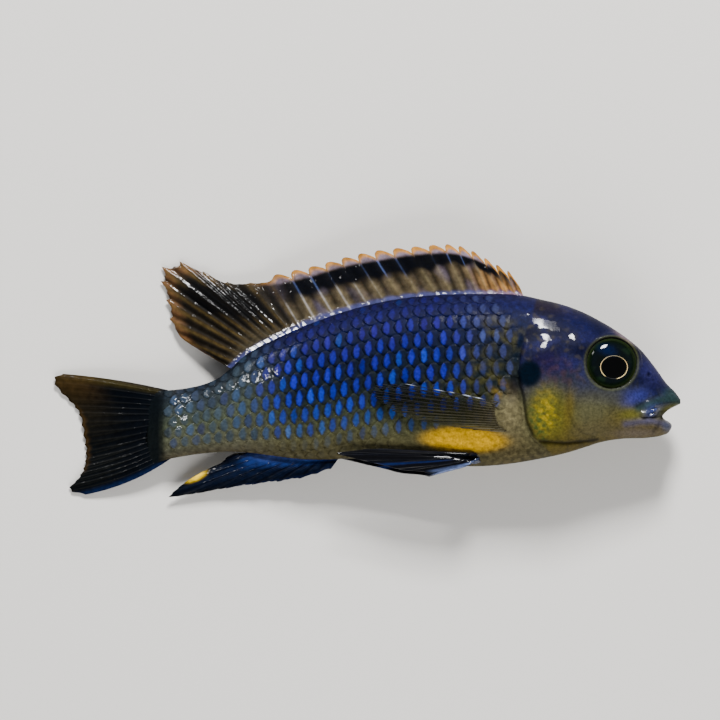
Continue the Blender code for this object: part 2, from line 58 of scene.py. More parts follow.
# Body: (x, y) of its outlines, half its width, and the height of its median plane
BACK = [
    (-24.6, -2.3), (-22.1, -2.28), (-20.0, -2.05), (-17.9, -1.56), (-16.4, -0.89), (-15.1, 0.17),
    (-13.7, 1.50), (-12.0, 2.56), (-9.6, 3.72), (-7.3, 4.75), (-4.0, 6.0), (-0.7, 7.0), (2.7, 7.75),
    (6.0, 8.2), (9.3, 8.4), (12.7, 8.46), (16.0, 8.42), (17.6, 8.25), (19.4, 7.85), (21.6, 7.33),
    (23.8, 6.55), (26.0, 5.45), (27.6, 4.5), (29.1, 3.45), (30.6, 2.15), (32.1, 0.3), (33.4, -1.5),
    (34.5, -2.65), (34.95, -3.3),
]
BELLY = [
    (-24.6, -10.9), (-22.1, -9.95), (-20.7, -9.68), (-19.0, -9.4), (-16.8, -9.17), (-14.0, -9.12),
    (-10.7, -9.5), (-7.3, -9.9), (-4.0, -9.95), (-1.8, -9.85), (1.6, -9.9), (6.0, -10.25),
    (9.3, -10.6), (12.7, -10.7), (14.9, -10.55), (18.9, -9.95), (22.7, -9.1), (24.3, -8.6),
    (26.0, -8.05), (28.2, -7.67), (31.6, -7.5), (32.9, -7.25), (33.6, -6.85), (34.0, -6.0),
    (34.4, -4.6), (34.95, -3.8),
]
HALF_WIDTH = [
    (-24.6, 0.03), (-23.5, 0.35), (-22.1, 1.12), (-18.0, 1.75), (-14.0, 2.35), (-10.0, 2.95),
    (-6.0, 3.4), (-2.0, 3.8), (2.0, 4.1), (6.0, 4.3), (10.0, 4.45), (14.0, 4.6), (17.0, 4.85),
    (19.5, 5.08), (21.5, 5.12), (23.5, 4.95), (25.5, 4.65), (27.5, 4.25), (29.5, 3.7), (31.0, 3.1),
    (32.5, 2.45), (33.7, 1.8), (34.5, 1.15), (34.95, 0.45),
]
MEDIAN = [
    (-35.0, 0.3), (-24.6, 1.53), (-22.1, 2.05), (-18.0, 2.3), (-14.0, 2.6), (-10.0, 2.9), (-6.0, 3.3),
    (-2.0, 3.72), (2.0, 4.15), (6.0, 4.5), (10.0, 4.75), (14.0, 4.88), (18.0, 4.92), (35.0, 4.92),
]
SQUARENESS = [(-24.6, 2.0), (10.0, 2.1), (18.0, 2.25), (24.0, 2.55), (28.0, 2.7), (35.0, 2.3)]
SKIN_START_X = -24.6
SKIN_LENGTH = 59.6
SKIN_AROUND = 372  # faces round the body
FIN_AIR = 1.2
PRESSED_X = (0.0, 15.6)
PRESSED_RAMP = 1.6
COAT = 0.045  # the scales stand this far over the skin

# Head
GILL_EDGE = [  # (y, x)
    (-11.6, 22.6), (-9.0, 20.4), (-7.4, 18.6), (-5.6, 17.75), (-2.8, 17.4), (-0.3, 16.75), (1.6, 17.1),
    (4.5, 17.9), (9.5, 19.6),
]
GILL_FOOT = [(19.3, -7.9), (22.0, -8.1), (25.6, -7.75)]
CHEEK_EDGE = [(22.0, 0.9), (22.2, -2.0), (22.35, -4.6), (23.0, -6.2), (24.2, -7.1), (26.0, -7.4)]
MOUTH_START_X = 30.5
MOUTH_PROFILE = [  # (y, x of the plain outline, x of the lips and of the notch between them)
    (-7.6, 31.0, 31.0), (-7.25, 32.9, 32.95), (-6.85, 33.6, 33.7), (-6.3, 33.9, 34.0),
    (-6.0, 34.0, 33.95), (-5.7, 34.08, 33.6), (-5.45, 34.15, 33.05), (-5.25, 34.2, 32.8),
    (-5.0, 34.28, 33.0), (-4.6, 34.4, 33.4), (-4.2, 34.68, 34.05), (-3.9, 34.88, 34.65),
    (-3.7, 34.95, 34.95),
]
UPPER_LIP = [(30.2, -4.2), (31.4, -3.75), (32.6, -3.35), (33.8, -3.15), (34.8, -3.5)]
LOWER_LIP = [(28.8, -6.0), (30.4, -5.75), (31.8, -5.7), (32.9, -5.95), (33.8, -6.3)]
LIP_CREASE = [(31.9, -6.7), (32.4, -6.1), (32.8, -5.4)]
LIP_FOLD = [(30.0, -4.0), (31.3, -3.25), (32.5, -2.75)]
MOUTH_WEB = [(31.0, -4.9), (32.0, -4.75), (33.2, -4.4), (34.4, -3.95)]
# folds of skin at the mouth's corner: x, y, half length, half breadth, distance from the middle, turn
MOUTH_FOLDS = [
    (30.85, -4.6, 0.55, 0.42, 3.36, 0.3), (31.9, -3.92, 0.25, 0.14, 3.07, 0.3),
    (31.9, -4.42, 0.5, 0.16, 2.99, 0.15), (31.65, -4.95, 0.5, 0.19, 2.82, 0.2),
]
FOLD_LEAN = (0.04, 0.5)  # how fast their flat faces rise towards the snout and the belly's side
EYE = (27.2, 0.78)
EYE_RADIUS = 2.8
EYE_BULGE = 1.35
EYE_DEPTH = 3.28
EYE_POWER = 2.6
EYE_LEAN = (0.2, 0.12)
ORBIT_RADIUS = 3.42
ORBIT_BULGE = 1.2
SOCKET = (2.7, 2.95)  # the skin sinks under the eye between these distances from its middle
PUPIL = (27.45, 0.3)
RING_RADIUS = (1.5, 1.28)
NOSTRIL = (31.35, -0.55)
PECTORAL_LOBE = (15.7, -5.1)

# Scales
SCALE_PITCH = [  # along a row
    (-23.0, 1.18), (-17.0, 1.28), (-13.0, 1.34), (-8.0, 1.22), (-2.0, 1.3), (4.0, 1.39),
    (10.0, 1.46), (18.0, 1.5),
]
ROW_HEIGHTS = [  # (row, arc from the middle row)
    (-7, -11.9), (-6, -10.4), (-5, -8.9), (-4, -7.3), (-3, -5.6), (-2, -3.8), (-1, -1.95), (0, 0.0),
    (1, 1.95), (2, 3.8), (3, 5.6), (4, 7.3), (5, 8.9), (6, 10.4), (7, 11.9),
]
ROW_SHRINK = [
    (-22.5, 0.6), (-18.0, 0.68), (-12.9, 0.82), (-7.3, 0.97), (-1.7, 1.0), (10.0, 0.98), (18.0, 0.92),
]
MIDDLE_ROW = [
    (-23.0, -6.0), (-17.7, -5.1), (-13.5, -4.15), (-9.0, -3.4), (-4.5, -2.6), (0.0, -1.45),
    (4.0, -0.65), (8.0, -0.2), (12.0, 0.1), (18.0, 0.4),
]
SCALE_START_X = -3.56  # a scale of the middle row is centred here
SCALE_REACH = (0.95, 0.78)  # from a scale's centre to its root, and to its free edge
SCALE_HALF_HEIGHT = 0.62  # of the gap between two rows
SCALE_POINT = 1.5  # 1 draws the free edge as a sharp point, 2 as a round
SCALE_SPREAD = 1.15  # and 1 would bring the free edge's corners just to the scale's centre
SCALE_SHEET = 0.022
SCALE_SPAN = 2.6  # a scale's own map reaches this many of its shares
PATCH = 0.0015  # half of a scale's patch on the skin's unwrap
SCALED_X = 17.5  # the skin carries scales behind this
ARC_STEP = 0.05

# Fins
DORSAL_SPINES = 17
DORSAL_RAYS = 27
DORSAL_BASE = [  # (ray, x of its root)
    (0, 17.4), (2, 15.7), (4, 13.6), (6, 11.0), (8, 7.8), (10, 3.9), (12, 0.2), (14, -3.6),
    (16, -7.3), (18, -9.1), (20, -10.6), (22, -12.1), (24, -13.6), (26, -15.1),
]
DORSAL_TIPS = [
    (0, 16.65, 10.0), (1, 15.6, 10.85), (2, 14.3, 11.6), (3, 13.0, 12.3), (4, 11.6, 12.95),
    (6, 8.7, 13.55), (8, 4.9, 13.3), (10, 0.9, 12.7), (12, -2.8, 12.0), (14, -6.5, 10.95), (16, -10.5, 10.0),
    (17, -12.9, 9.7), (18, -15.5, 9.8), (19, -18.2, 11.0), (20, -20.8, 12.1), (21, -22.8, 11.5),
    (22, -22.9, 9.9), (23, -22.3, 7.8), (24, -21.9, 5.7), (25, -20.7, 3.7), (26, -18.1, 2.0),
]
DORSAL_DROP = [(0, 0.2), (8, 0.8), (16, 1.6), (20, 2.5), (26, 1.6)]
LAPPET = 0.5
CAUDAL_RAYS = 18
CAUDAL_ROOT = (-22.1, -2.28, -9.95)
CAUDAL_TIPS = [
    (0, -33.8, -0.45), (1, -34.75, -0.8), (2, -34.75, -1.6), (3, -34.0, -2.55), (4, -33.1, -3.45),
    (6, -32.0, -5.0), (8, -31.55, -7.3), (10, -31.3, -9.3), (12, -31.55, -11.0), (14, -32.4, -12.4),
    (15, -33.1, -13.1), (16, -32.8, -13.6), (17, -31.3, -13.9),
]
CAUDAL_DROP = 1.75
CAUDAL_BOW = (-0.25, 0.6)
ANAL_RAYS = 11
ANAL_BASE = (-3.1, -13.3)
ANAL_TIPS = [
    (0, -3.9, -11.0), (2, -7.4, -12.1), (4, -12.7, -12.8), (5, -15.6, -13.2), (6, -18.8, -13.75),
    (7, -22.0, -14.15), (8, -20.2, -12.55), (9, -17.8, -11.2), (10, -15.6, -10.15),
]
ANAL_DROP = [(0, 0.3), (7, 2.0), (10, 0.8)]
EGG_SPOT = (-19.0, -11.8)
EGG_TURN = 0.42
PECTORAL_RAYS = 14
PECTORAL_FILM = 0.07
RAY_THICKNESS = 0.16
RAY_FACES = 3  # across each ray: two stay, and the third is the gap before the next ray
PECTORAL_BASE = [(0, 14.6, -3.55), (13, 14.8, -6.75)]
PECTORAL_TIPS = [
    (0, 4.7, -1.5), (1, 2.2, -1.55), (2, 0.8, -1.8), (3, 0.55, -2.35), (4, 0.9, -3.0),
    (6, 2.2, -4.1), (8, 4.0, -5.0), (10, 6.4, -5.7), (12, 10.1, -6.35), (13, 12.2, -6.65),
]
PELVIC_RAYS = 6
PELVIC_BASE = [(0, 13.1, -10.4), (5, 12.9, -10.0)]
PELVIC_TIPS = [
    (0, 7.0, -11.35), (1, 3.8, -11.0), (2, 0.0, -10.1), (3, -3.2, -9.25), (4, 0.7, -8.8),
    (5, 5.1, -9.0),
]
PELVIC_STANDOFF = 1.0
PELVIC_TOP = -9.0
ROOT_INSET = 0.6  # a fin's sheet starts this far inside the body
LEFT_PELVIC_DROP = 0.45
FLOOR_AIR = 0.12

# Picture
FRAME_WIDTH = 80.34  # millimetres across the picture at the floor, 80 at the fish's middle
FRAME_MIDDLE = (-0.67, 1.11)
CAMERA_HEIGHT = 1200.0
SENSOR = 36.0
LAMPS = [  # name, place, size, power
    ("key", (50, 380, 290), 110, 5.6), ("fill", (30, -380, 220), 380, 3.0),
    ("gleam", (-266, 330, 238), 90, 3.6),
]
SKY = 0.24


# Shape


def curve(points, at, column=1):
    """A smooth line through rows of (place, value, ...), read at one place or at many."""
    rows = np.array(points, float)
    x, y = rows[:, 0], rows[:, column]
    slope = np.gradient(y, x) if len(x) > 2 else np.full(len(x), (y[-1] - y[0]) / (x[-1] - x[0]))
    at = np.clip(at, x[0], x[-1])
    i = np.clip(np.searchsorted(x, at) - 1, 0, len(x) - 2)
    step = x[i + 1] - x[i]
    t = (at - x[i]) / step
    return (
        (2 * t**3 - 3 * t**2 + 1) * y[i]
        + (t**3 - 2 * t**2 + t) * step * slope[i]
        + (3 * t**2 - 2 * t**3) * y[i + 1]
        + (t**3 - t**2) * step * slope[i + 1]
    )


def ramp(value, start, end):
    """0 before start, 1 past end, and smooth between."""
    t = np.clip((value - start) / (end - start), 0.0, 1.0)
    return t * t * (3 - 2 * t)


def falling(value, start, end):
    """1 before start, 0 past end, and smooth between."""
    return 1 - ramp(value, start, end)


def bell(distance, width):
    """1 at no distance, fading to nothing past the width."""
    return np.exp(-((distance / width) ** 2))


def blob(x, y, centre, radii, turn=0.0, power=2.0):
    """1 in the middle of a turned ellipse, fading past its edge; a high power fades fast."""
    dx, dy = x - centre[0], y - centre[1]
    along = dx * math.cos(turn) + dy * math.sin(turn)
    across = dy * math.cos(turn) - dx * math.sin(turn)
    return np.exp(-(((along / radii[0]) ** 2 + (across / radii[1]) ** 2) ** (power / 2)))


def half_width(x, side):
    """Half the body's width; the left side is pressed in where the pectoral fin lies under it."""
    width = curve(HALF_WIDTH, x)
    free = ramp(np.maximum(PRESSED_X[0] - x, x - PRESSED_X[1]), 0.0, PRESSED_RAMP)
    pressed = np.minimum(width, curve(MEDIAN, x) - FIN_AIR)
    return np.where(side > 0, width, pressed + (width - pressed) * free)


def near_line(line, x, y):
    """Distance of (x, y) from a line of points, and how far along it, from 0 to 1."""
    line = np.array(line, float)
    best = np.full(np.shape(x), 1e9)
    along = np.zeros(np.shape(x))
    for i, (a, b) in enumerate(zip(line, line[1:])):
        way = b - a
        t = np.clip(((x - a[0]) * way[0] + (y - a[1]) * way[1]) / (way @ way), 0, 1)
        d = np.hypot(x - a[0] - t * way[0], y - a[1] - t * way[1])
        along = np.where(d < best, (i + t) / (len(line) - 1), along)
        best = np.minimum(best, d)
    return best, along


def past_gill(x, y):
    """How far in front of the gill cover's hind edge a place is."""
    return x - np.interp(y, [p[0] for p in GILL_EDGE], [p[1] for p in GILL_EDGE])


def up_flank(x, y):
    """A height on the body as a share, from 0 at its belly to 1 at its back."""
    top, foot = curve(BACK, x), curve(BELLY, x)
    return (y - foot) / (top - foot)


def crease(line, x, y, width):
    """1 on a line of points, fading to nothing past the width."""
    return bell(near_line(line, x, y)[0], width)


def dome(x, y, radius, bulge):
    """Height of the eye's dome over the median plane, at points inside its radius."""
    dx, dy = x - EYE[0], y - EYE[1]
    share = np.clip(np.hypot(dx, dy) / radius, 0, 1)
    rise = bulge * (1 - share**EYE_POWER) ** (1 / EYE_POWER)
    return EYE_DEPTH + rise - EYE_LEAN[0] * dx - EYE_LEAN[1] * dy


def head_relief(x, y, out):
    """The flank's distance from the median plane, with the forms of the head added to it."""
    # gill cover: a plate that stands over the shoulder, with a groove behind its edge
    edge = past_gill(x, y)
    height = ramp(y, -9.0, -7.6) * falling(y, 2.2, 4.2)
    plate = 0.2 * ramp(edge, -0.1, 0.3) * falling(edge, 1.5, 5.0)
    out = out + height * (plate - 0.3 * bell(edge + 0.25, 0.28))
    # cheek: the front bone of the gill cover ends in a low ridge with a crease behind it
    d, along = near_line(CHEEK_EDGE, x, y)
    fade = ramp(along, 0.0, 0.15) * falling(along, 0.85, 1.0)
    out = out - 0.05 * fade * bell(d, 0.2) + 0.05 * fade * bell(d - 0.4, 0.35)
    out = out + 0.22 * blob(x, y, (25.4, -4.4), (2.0, 1.8)) + 0.15 * blob(x, y, (20.2, -2.6), (2.0, 3.0))
    # lower edge of the gill cover
    d, along = near_line(GILL_FOOT, x, y)
    out = out - 0.2 * bell(d, 0.2) * falling(along, 0.8, 1.0)
    # lips: a roll along each edge of the mouth, a web of skin between them, and the bulging corner
    d, along = near_line(UPPER_LIP, x, y)
    out = out + 0.28 * np.sqrt(np.clip(1 - (d / 0.6) ** 2, 0, 1)) * ramp(along, 0.0, 0.3)
    d, along = near_line([(30.0, -3.7), (31.0, -3.0), (32.2, -2.5), (33.4, -2.0), (34.2, -1.8)], x, y)
    out = out - 0.1 * bell(d, 0.2) * falling(along, 0.75, 1.0)
    d, along = near_line(LOWER_LIP, x, y)
    out = out + 0.26 * np.sqrt(np.clip(1 - (d / 0.48) ** 2, 0, 1)) * ramp(along, 0.0, 0.4)
    out = out - 0.08 * crease(LIP_CREASE, x, y, 0.2)
    d, along = near_line(MOUTH_WEB, x, y)
    out = out - 0.3 * bell(d, 0.34) * ramp(along, 0.1, 0.5)
    out = out + 0.3 * blob(x, y, (31.4, -4.5), (0.95, 0.55), 0.3, 3.0)
    for fold_x, fold_y, half_length, half_breadth, level, turn in MOUTH_FOLDS:
        flat = level - FOLD_LEAN[0] * (x - fold_x) - FOLD_LEAN[1] * (y - fold_y)
        out = out + (flat - out) * blob(x, y, (fold_x, fold_y), (half_length, half_breadth), turn, 6.0)
    out = out - 0.08 * crease(LIP_FOLD, x, y, 0.2)
    # nape: low swellings where the skull's muscles end
    out = out + 0.4 * blob(x, y, (19.6, 1.8), (1.4, 1.35)) + 0.22 * blob(x, y, (23.4, 2.6), (1.2, 1.0))
    out = out + 0.03 * ragged(2.0 * x, y, 1.6, 1.9) * blob(x, y, (19.5, 3.8), (1.5, 1.9))
    # folds before the eye and under it, and the nostril
    out = out - 0.1 * crease([(29.9, -1.9), (31.0, -1.4), (32.0, -1.0)], x, y, 0.22)
    under_eye = [(24.3, -2.9), (26.6, -3.6), (29.0, -3.2), (30.4, -2.4)]
    out = out - 0.07 * crease(under_eye, x, y, 0.3)
    d = np.hypot(x - NOSTRIL[0], y - NOSTRIL[1])
    out = out + 0.08 * bell(d - 0.36, 0.14) - 0.3 * bell(d, 0.2)
    # shoulder: the fleshy root of the pectoral fin
    return out + 0.85 * blob(x, y, PECTORAL_LOBE, (1.55, 2.0), power=3.0)


def eye_relief(x, y, out, share):
    """The mound of skin round the eye, and the socket in it; the brow's ridge stays as it is."""
    r = np.hypot(x - EYE[0], y - EYE[1])
    mound = dome(x, y, ORBIT_RADIUS, ORBIT_BULGE)
    lift = np.where(r < ORBIT_RADIUS, np.maximum(mound - out, 0.0), 0.0)
    out = out + lift * ramp(share, 0.1, 0.6)
    socket = dome(x, y, EYE_RADIUS, 0.0) + 0.1
    return np.where(r < SOCKET[1], out + (socket - out) * falling(r, *SOCKET), out)


def mouth_profile(x, y):
    """Draws the skin back between the lips, so that the mouth is a notch in its outline."""
    height, plain_x, shown_x = zip(*MOUTH_PROFILE)
    plain, shown = np.interp(y, height, plain_x), np.interp(y, height, shown_x)
    ahead = np.maximum(x - MOUTH_START_X, 0.0)
    return x + ahead * (shown - plain) / (plain - MOUTH_START_X)


def skin_form(x, turn):
    """Points of the skin at x and at a turn round the body, from the back over the right flank."""
    top, foot = curve(BACK, x), curve(BELLY, x)
    power = curve(SQUARENESS, x)
    up, across = np.cos(turn), np.sin(turn)
    side = np.where(across >= 0, RIGHT, LEFT)
    y = (top + foot) / 2 + (top - foot) / 2 * np.sign(up) * np.abs(up) ** (2 / power)
    share = np.abs(across) ** (2 / power)
    plain = half_width(x, side) * share
    median = curve(MEDIAN, x)
    x = mouth_profile(x, y)
    out = head_relief(x, y, plain)
    # the ridges of back and belly keep their outline
    hold = ramp(share, 0.0, 0.3)
    out = plain + (out - plain) * hold
    out = eye_relief(x, y, out, share) - COAT * hold * falling(x, 16.0, 18.0)
    z = median + side * np.maximum(out, 0.0)
    return x, y, np.maximum(z, 0.03)


# Colour

HEAD_SHADE = 0.42  # pigment lies under skin there, and takes this share of its own brightness
SPOT_SHADE = 0.78  # the same for the scales' spots


def linear(hex_colour):
    """An sRGB hex colour as linear red, green and blue."""
    value = np.array([int(hex_colour[i : i + 2], 16) for i in (1, 3, 5)]) / 255
    return np.where(value <= 0.04045, value / 12.92, ((value + 0.055) / 1.055) ** 2.4)


def stops(at, colours):
    """A run of colours, (place, hex), read at many places."""
    places = [p for p, _ in colours]
    table = np.array([linear(c) for _, c in colours])
    return np.stack([np.interp(at, places, table[:, i]) for i in range(3)], axis=-1)


def over(under, hex_colour, share):
    """A colour laid over another, where share is more than 0."""
    return under + (linear(hex_colour) - under) * np.clip(share, 0, 1)[..., None]


def layers(under, rows):
    """Several colours, each with its share, laid over one another in turn."""
    for hex_colour, share in rows:
        under = over(under, hex_colour, share)
    return under


def patches(under, x, y, rows):
    """Soft patches of colour laid over one another: each a colour, a share, and a blob's values."""
    for hex_colour, share, *shape in rows:
        under = over(under, hex_colour, share * blob(x, y, *shape))
    return under


def ragged(x, y, size, seed=0.0):
    """Soft, uneven numbers about 0, from -1 to 1, whose patches are about size across."""
    a, b = x / size * 2.1, y / size * 2.1
    return (
        np.sin(a + 1.7 * np.sin(b * 0.7 + seed) + seed)
        + np.sin(b * 1.3 - 1.5 * np.sin(a * 0.6 + 2 * seed) + 3 * seed)
        + np.sin((a + b) * 0.8 + 1.2 * np.sin(a * 1.1 - b + seed))
    ) / 3


def ground_colour(x, y):
    """The colour of skin and scale edges at (x, y) on the trunk and tail stalk."""
    share = up_flank(x, y)
    colour = stops(share, [
        (0.0, "#46402A"), (0.1, "#4C4830"), (0.22, "#42442E"), (0.34, "#2A3020"), (0.46, "#141C1C"),
        (0.66, "#0C1420"), (0.84, "#0C1230"), (0.93, "#0E1038"), (1.0, "#10102C"),
    ])
    stalk = stops(share, [
        (0.0, "#4C4636"), (0.15, "#525240"), (0.45, "#484E3C"), (0.72, "#2E3636"), (0.9, "#182028"),
        (1.0, "#0A0E14"),
    ])
    blotches = ramp(ragged(x, y, 0.6, 6.0), 0.0, 0.7)
    colour = colour + (stalk - colour) * ramp(-x, 7.0, 15.0)[..., None]
    olive = ramp(ragged(x, y, 0.7, 4.0), -0.5, 0.5)
    colour = patches(colour, x, y, [
        ("#4C481C", 0.6 * olive, (15.2, 4.2), (2.8, 1.5), -0.5, 3.0),
        ("#4A4620", 0.45 * olive, (13.4, 0.4), (2.8, 2.4), -0.4, 3.0),
        ("#7A5C08", 0.7 * olive, (14.9, -2.3), (0.9, 1.0), 0.0, 3.0),
        ("#4A4612", 0.6 * olive, (9.5, -2.8), (5.0, 1.9), 0.1),
        # painted shade: a dark patch just behind the gill cover, where it overhangs the shoulder
        ("#120C14", 0.8, (16.3, -2.4), (0.8, 1.7), 0.0, 3.0),
        ("#5A5034", 0.8, (15.6, -8.0), (2.4, 2.6)),
        ("#686044", 0.85, PECTORAL_LOBE, (2.1, 2.4), 0.0, 3.0),
        ("#2C2818", 0.35 * blotches, (15.2, -5.6), (2.4, 3.0)),
    ])
    # brightness varies in a fine grain, and is a quarter lower along the belly's lowest edge
    grain_and_low_edge = 0.86 + 0.3 * ragged(x, y, 0.35, 2.0) - 0.25 * falling(y, -8.9, -8.0)
    colour = over(colour, "#CC9C00", blob(x, y, (10.9, -7.75), (4.5, 1.4), -0.04, 6.0)) * grain_and_low_edge[..., None]
    return over(colour, "#04080C", 0.97 * ramp(-x, 22.0, 23.0))


def spot_colour(x, y):
    """The colour of the spot in the middle of each scale, and how strongly it shows."""
    share = up_flank(x, y)
    colour = stops(share, [
        (0.0, "#3E4C54"), (0.14, "#3C4E64"), (0.26, "#26427C"), (0.4, "#182EA0"), (0.55, "#181E92"),
        (0.72, "#171880"), (0.85, "#18126A"), (1.0, "#151050"),
    ])
    colour = over(colour, "#34424E", ramp(-x, 8.0, 14.0)) * SPOT_SHADE
    front = ramp(x, 8.0, 14.5)
    colour = over(colour, "#363E5E", 0.8 * front)
    strong = 1.0 - 0.95 * falling(share, 0.08, 0.22)
    strong = strong * (1 - 0.35 * front) * (1 - 0.9 * ramp(x, 5.0, 9.0) * falling(y, -5.6, -3.6))
    strong = strong * (1 - 0.95 * blob(x, y, (10.9, -7.85), (5.0, 1.8), power=4.0))
    strong = strong * (1 - ramp(x, -2.0, 3.0) * falling(y, -7.2, -5.8))
    strong = strong * (1 - 0.75 * blob(x, y, (14.2, -0.4), (2.8, 2.2))) * (1 - 0.5 * ramp(share, 0.84, 0.92))
    strong = strong * (1 - 0.35 * ramp(-x, 10.0, 18.0))
    return colour, np.clip(strong, 0, 1)


def head_colour(x, y):
    """The colour of the head at (x, y)."""
    share = up_flank(x, y)
    colour = stops(share, [
        (0.0, "#5C4F24"), (0.14, "#77682C"), (0.3, "#5F5C3C"), (0.45, "#3E4150"), (0.62, "#232649"),
        (0.8, "#191B3E"), (1.0, "#17172E"),
    ])
    mottle = ragged(x, y, 1.5, 0.6)
    colour = layers(colour, [
        ("#34347C", 0.35 * ramp(mottle, 0.0, 0.6) * ramp(share, 0.35, 0.6)),
        ("#0A0C28", 0.6 * ramp(-mottle, 0.0, 0.6) * ramp(share, 0.4, 0.7)),
    ])
    speck = ragged(x, y, 0.5, 2.6)
    small = ragged(x, y, 0.3, 7.1)
    pale = ramp(speck, 0.2, 0.8) * ramp(share, 0.3, 0.5) * falling(x, 22.0, 26.0)
    colour = layers(colour, [
        ("#6A6242", 0.35 * pale),
        ("#080810", 0.2 * ramp(small, 0.0, 0.7)),
    ])
    # streaks of pigment run down the cheek and the gill cover
    streak = ragged(x * 2.2, y * 0.7, 1.0, 3.3)
    colour = layers(colour, [
        ("#2E2C20", 0.35 * ramp(streak, 0.0, 0.7) * falling(share, 0.4, 0.6)),
        ("#4C4E3C", 0.3 * ramp(-streak, 0.1, 0.8) * ramp(share, 0.35, 0.5) * falling(share, 0.6, 0.85)),
    ])
    # nape and brow
    colour = patches(colour, x, y, [
        ("#B898A0", 0.5, (28.5, 3.7), (1.3, 0.4), -0.62, 3.0),
        ("#10164C", 0.8, (23.4, 5.0), (3.0, 1.3), -0.45),
        ("#101648", 0.6, (27.4, 3.9), (1.6, 0.6), -0.7),
        ("#2A2030", 0.7, (19.6, 7.2), (3.0, 0.8), -0.2),
        # snout, and the blue patch under the eye
        ("#2C2C60", 0.85, (31.6, -0.3), (1.9, 1.3), -0.9, 3.0),
        ("#3B3F9E", 0.65, (29.9, -3.1), (1.7, 1.0), 0.2, 3.0),
        ("#4E5050", 0.5, (26.6, -3.2), (2.2, 0.8), 0.1, 3.0),
        # cheek, jaw and throat
        ("#6C6A4C", 0.7, (24.9, -5.0), (2.2, 1.8), 0.2, 3.0),
        ("#6E6648", 0.75, (25.6, -6.6), (3.4, 1.0), 0.15, 3.0),
        ("#7E7A2C", 0.7, (29.6, -4.9), (1.5, 0.7), 0.1, 3.0),
        ("#7A6E62", 0.7, (30.4, -6.9), (3.0, 0.6), 0.05, 3.0),
        # gill cover
        ("#2B2350", 0.8, (20.2, 0.6), (2.1, 1.6), 0.0, 3.0),
        ("#4A3248", 0.6 * ramp(speck, -0.3, 0.4), (21.3, -0.5), (2.3, 1.6), 0.0, 3.0),
    ])
    fleck = ramp(ragged(x, y, 0.42, 1.3), -0.3, 0.5)
    colour = patches(colour, x, y, [
        ("#7E7A26", 0.9, (20.3, -4.6), (2.2, 2.9), 0.15, 3.0),
        ("#2C6434", 0.6 * ramp(small, -0.4, 0.3), (19.1, -5.9), (0.9, 2.0), 0.3, 3.0),
        ("#CCB02A", 0.95 * (0.12 + 0.88 * fleck), (19.9, -4.7), (1.2, 2.0), 0.1, 2.5),
        ("#4A4E2C", 0.45 * ramp(small, 0.0, 0.5), (20.3, -4.4), (2.0, 2.9), 0.1, 3.0),
        ("#40401E", 0.4, (21.3, -4.2), (0.35, 2.2), -0.1, 3.0),
        ("#7E6C26", 0.6, (22.4, -4.4), (0.6, 2.2), -0.1, 3.0),
        ("#001222", 1.0, (18.05, -0.4), (1.4, 1.5), 0.0, 12.0),
    ])
    # lips, and painted shade as dark lines in the creases
    colour = over(colour, "#625E78", 0.8 * crease(LOWER_LIP, x, y, 0.42))
    colour = over(colour, "#50566E", 0.8 * blob(x, y, (33.4, -6.2), (0.6, 0.7), power=3.0))
    d, along = near_line(MOUTH_WEB, x, y)
    colour = layers(colour, [
        ("#6C6A24", 0.85 * bell(d, 0.5) * ramp(along, 0.1, 0.4)),
        ("#304644", 0.9 * crease(UPPER_LIP, x, y, 0.5)),
    ])
    colour = over(colour, "#2C4446", 0.8 * blob(x, y, (33.8, -2.7), (0.9, 0.8), -0.6, 3.0))
    # painted shade in the groove above the fold at the mouth's corner
    colour = over(colour, "#0A1214", 0.6 * crease(LIP_FOLD, x, y, 0.2))
    colour = over(colour, "#3C50A8", 0.8 * blob(x, y, (31.7, -4.6), (0.85, 0.6), 0.5))
    # painted shade in the crease under the lower lip
    colour = over(colour, "#14141A", 0.4 * crease(LIP_CREASE, x, y, 0.24))
    # painted shade: dark lines in the gap behind the gill cover's hind edge and along its lower edge
    gill_gap_shade = bell(past_gill(x, y) + 0.15, 0.3) * ramp(y, -8.6, -7.0) * falling(y, 1.6, 3.2)
    colour = layers(colour, [
        ("#030304", 0.85 * gill_gap_shade),
        ("#080604", 0.8 * crease(GILL_FOOT, x, y, 0.25)),
    ])
    # painted shade: a faint dark line in the crease along the cheek's edge
    d, along = near_line(CHEEK_EDGE, x, y)
    colour = over(colour, "#16161A", 0.25 * bell(d, 0.2) * falling(along, 0.7, 1.0))
    # painted shade in the pit of the nostril
    d = np.hypot(x - NOSTRIL[0], y - NOSTRIL[1])
    colour = over(colour, "#020204", 0.6 * bell(d, 0.18))
    r = np.hypot(x - EYE[0], y - EYE[1])
    return over(colour, "#6A6E3A", 0.5 * bell(r - SOCKET[1], 0.16)) * HEAD_SHADE


def skin_colour(x, y):
    """The trunk's ground colour behind the gill cover's edge, and the head's in front of it."""
    in_front = ramp(past_gill(x, y), -0.25, 0.05)[..., None]
    return ground_colour(x, y) * (1 - in_front) + head_colour(x, y) * in_front


def wetness(x, y):
    """1 where water stands on the head: on the nape, over the eye and at the mouth's corner."""
    strokes = 0.15 + 0.85 * ramp(ragged(2.4 * x, y, 0.9, 5.0), -0.6, 0.0)
    nape = blob(x, y, (19.4, 4.0), (0.95, 1.6), 0.2, 4.0)
    brow = blob(x, y, (23.4, 3.8), (1.1, 0.6), -0.1, 4.0)
    mouth = 1.6 * blob(x, y, (31.6, -4.4), (1.1, 0.8), 0.4, 4.0)
    lip = 0.5 * blob(x, y, (33.4, -6.0), (0.7, 0.8))
    shoulder = 0.7 * blob(x, y, (17.4, 6.2), (1.0, 0.25), -0.05, 3.0)
    return np.clip(strokes * (nape + brow) + mouth + lip + shoulder, 0, 1)


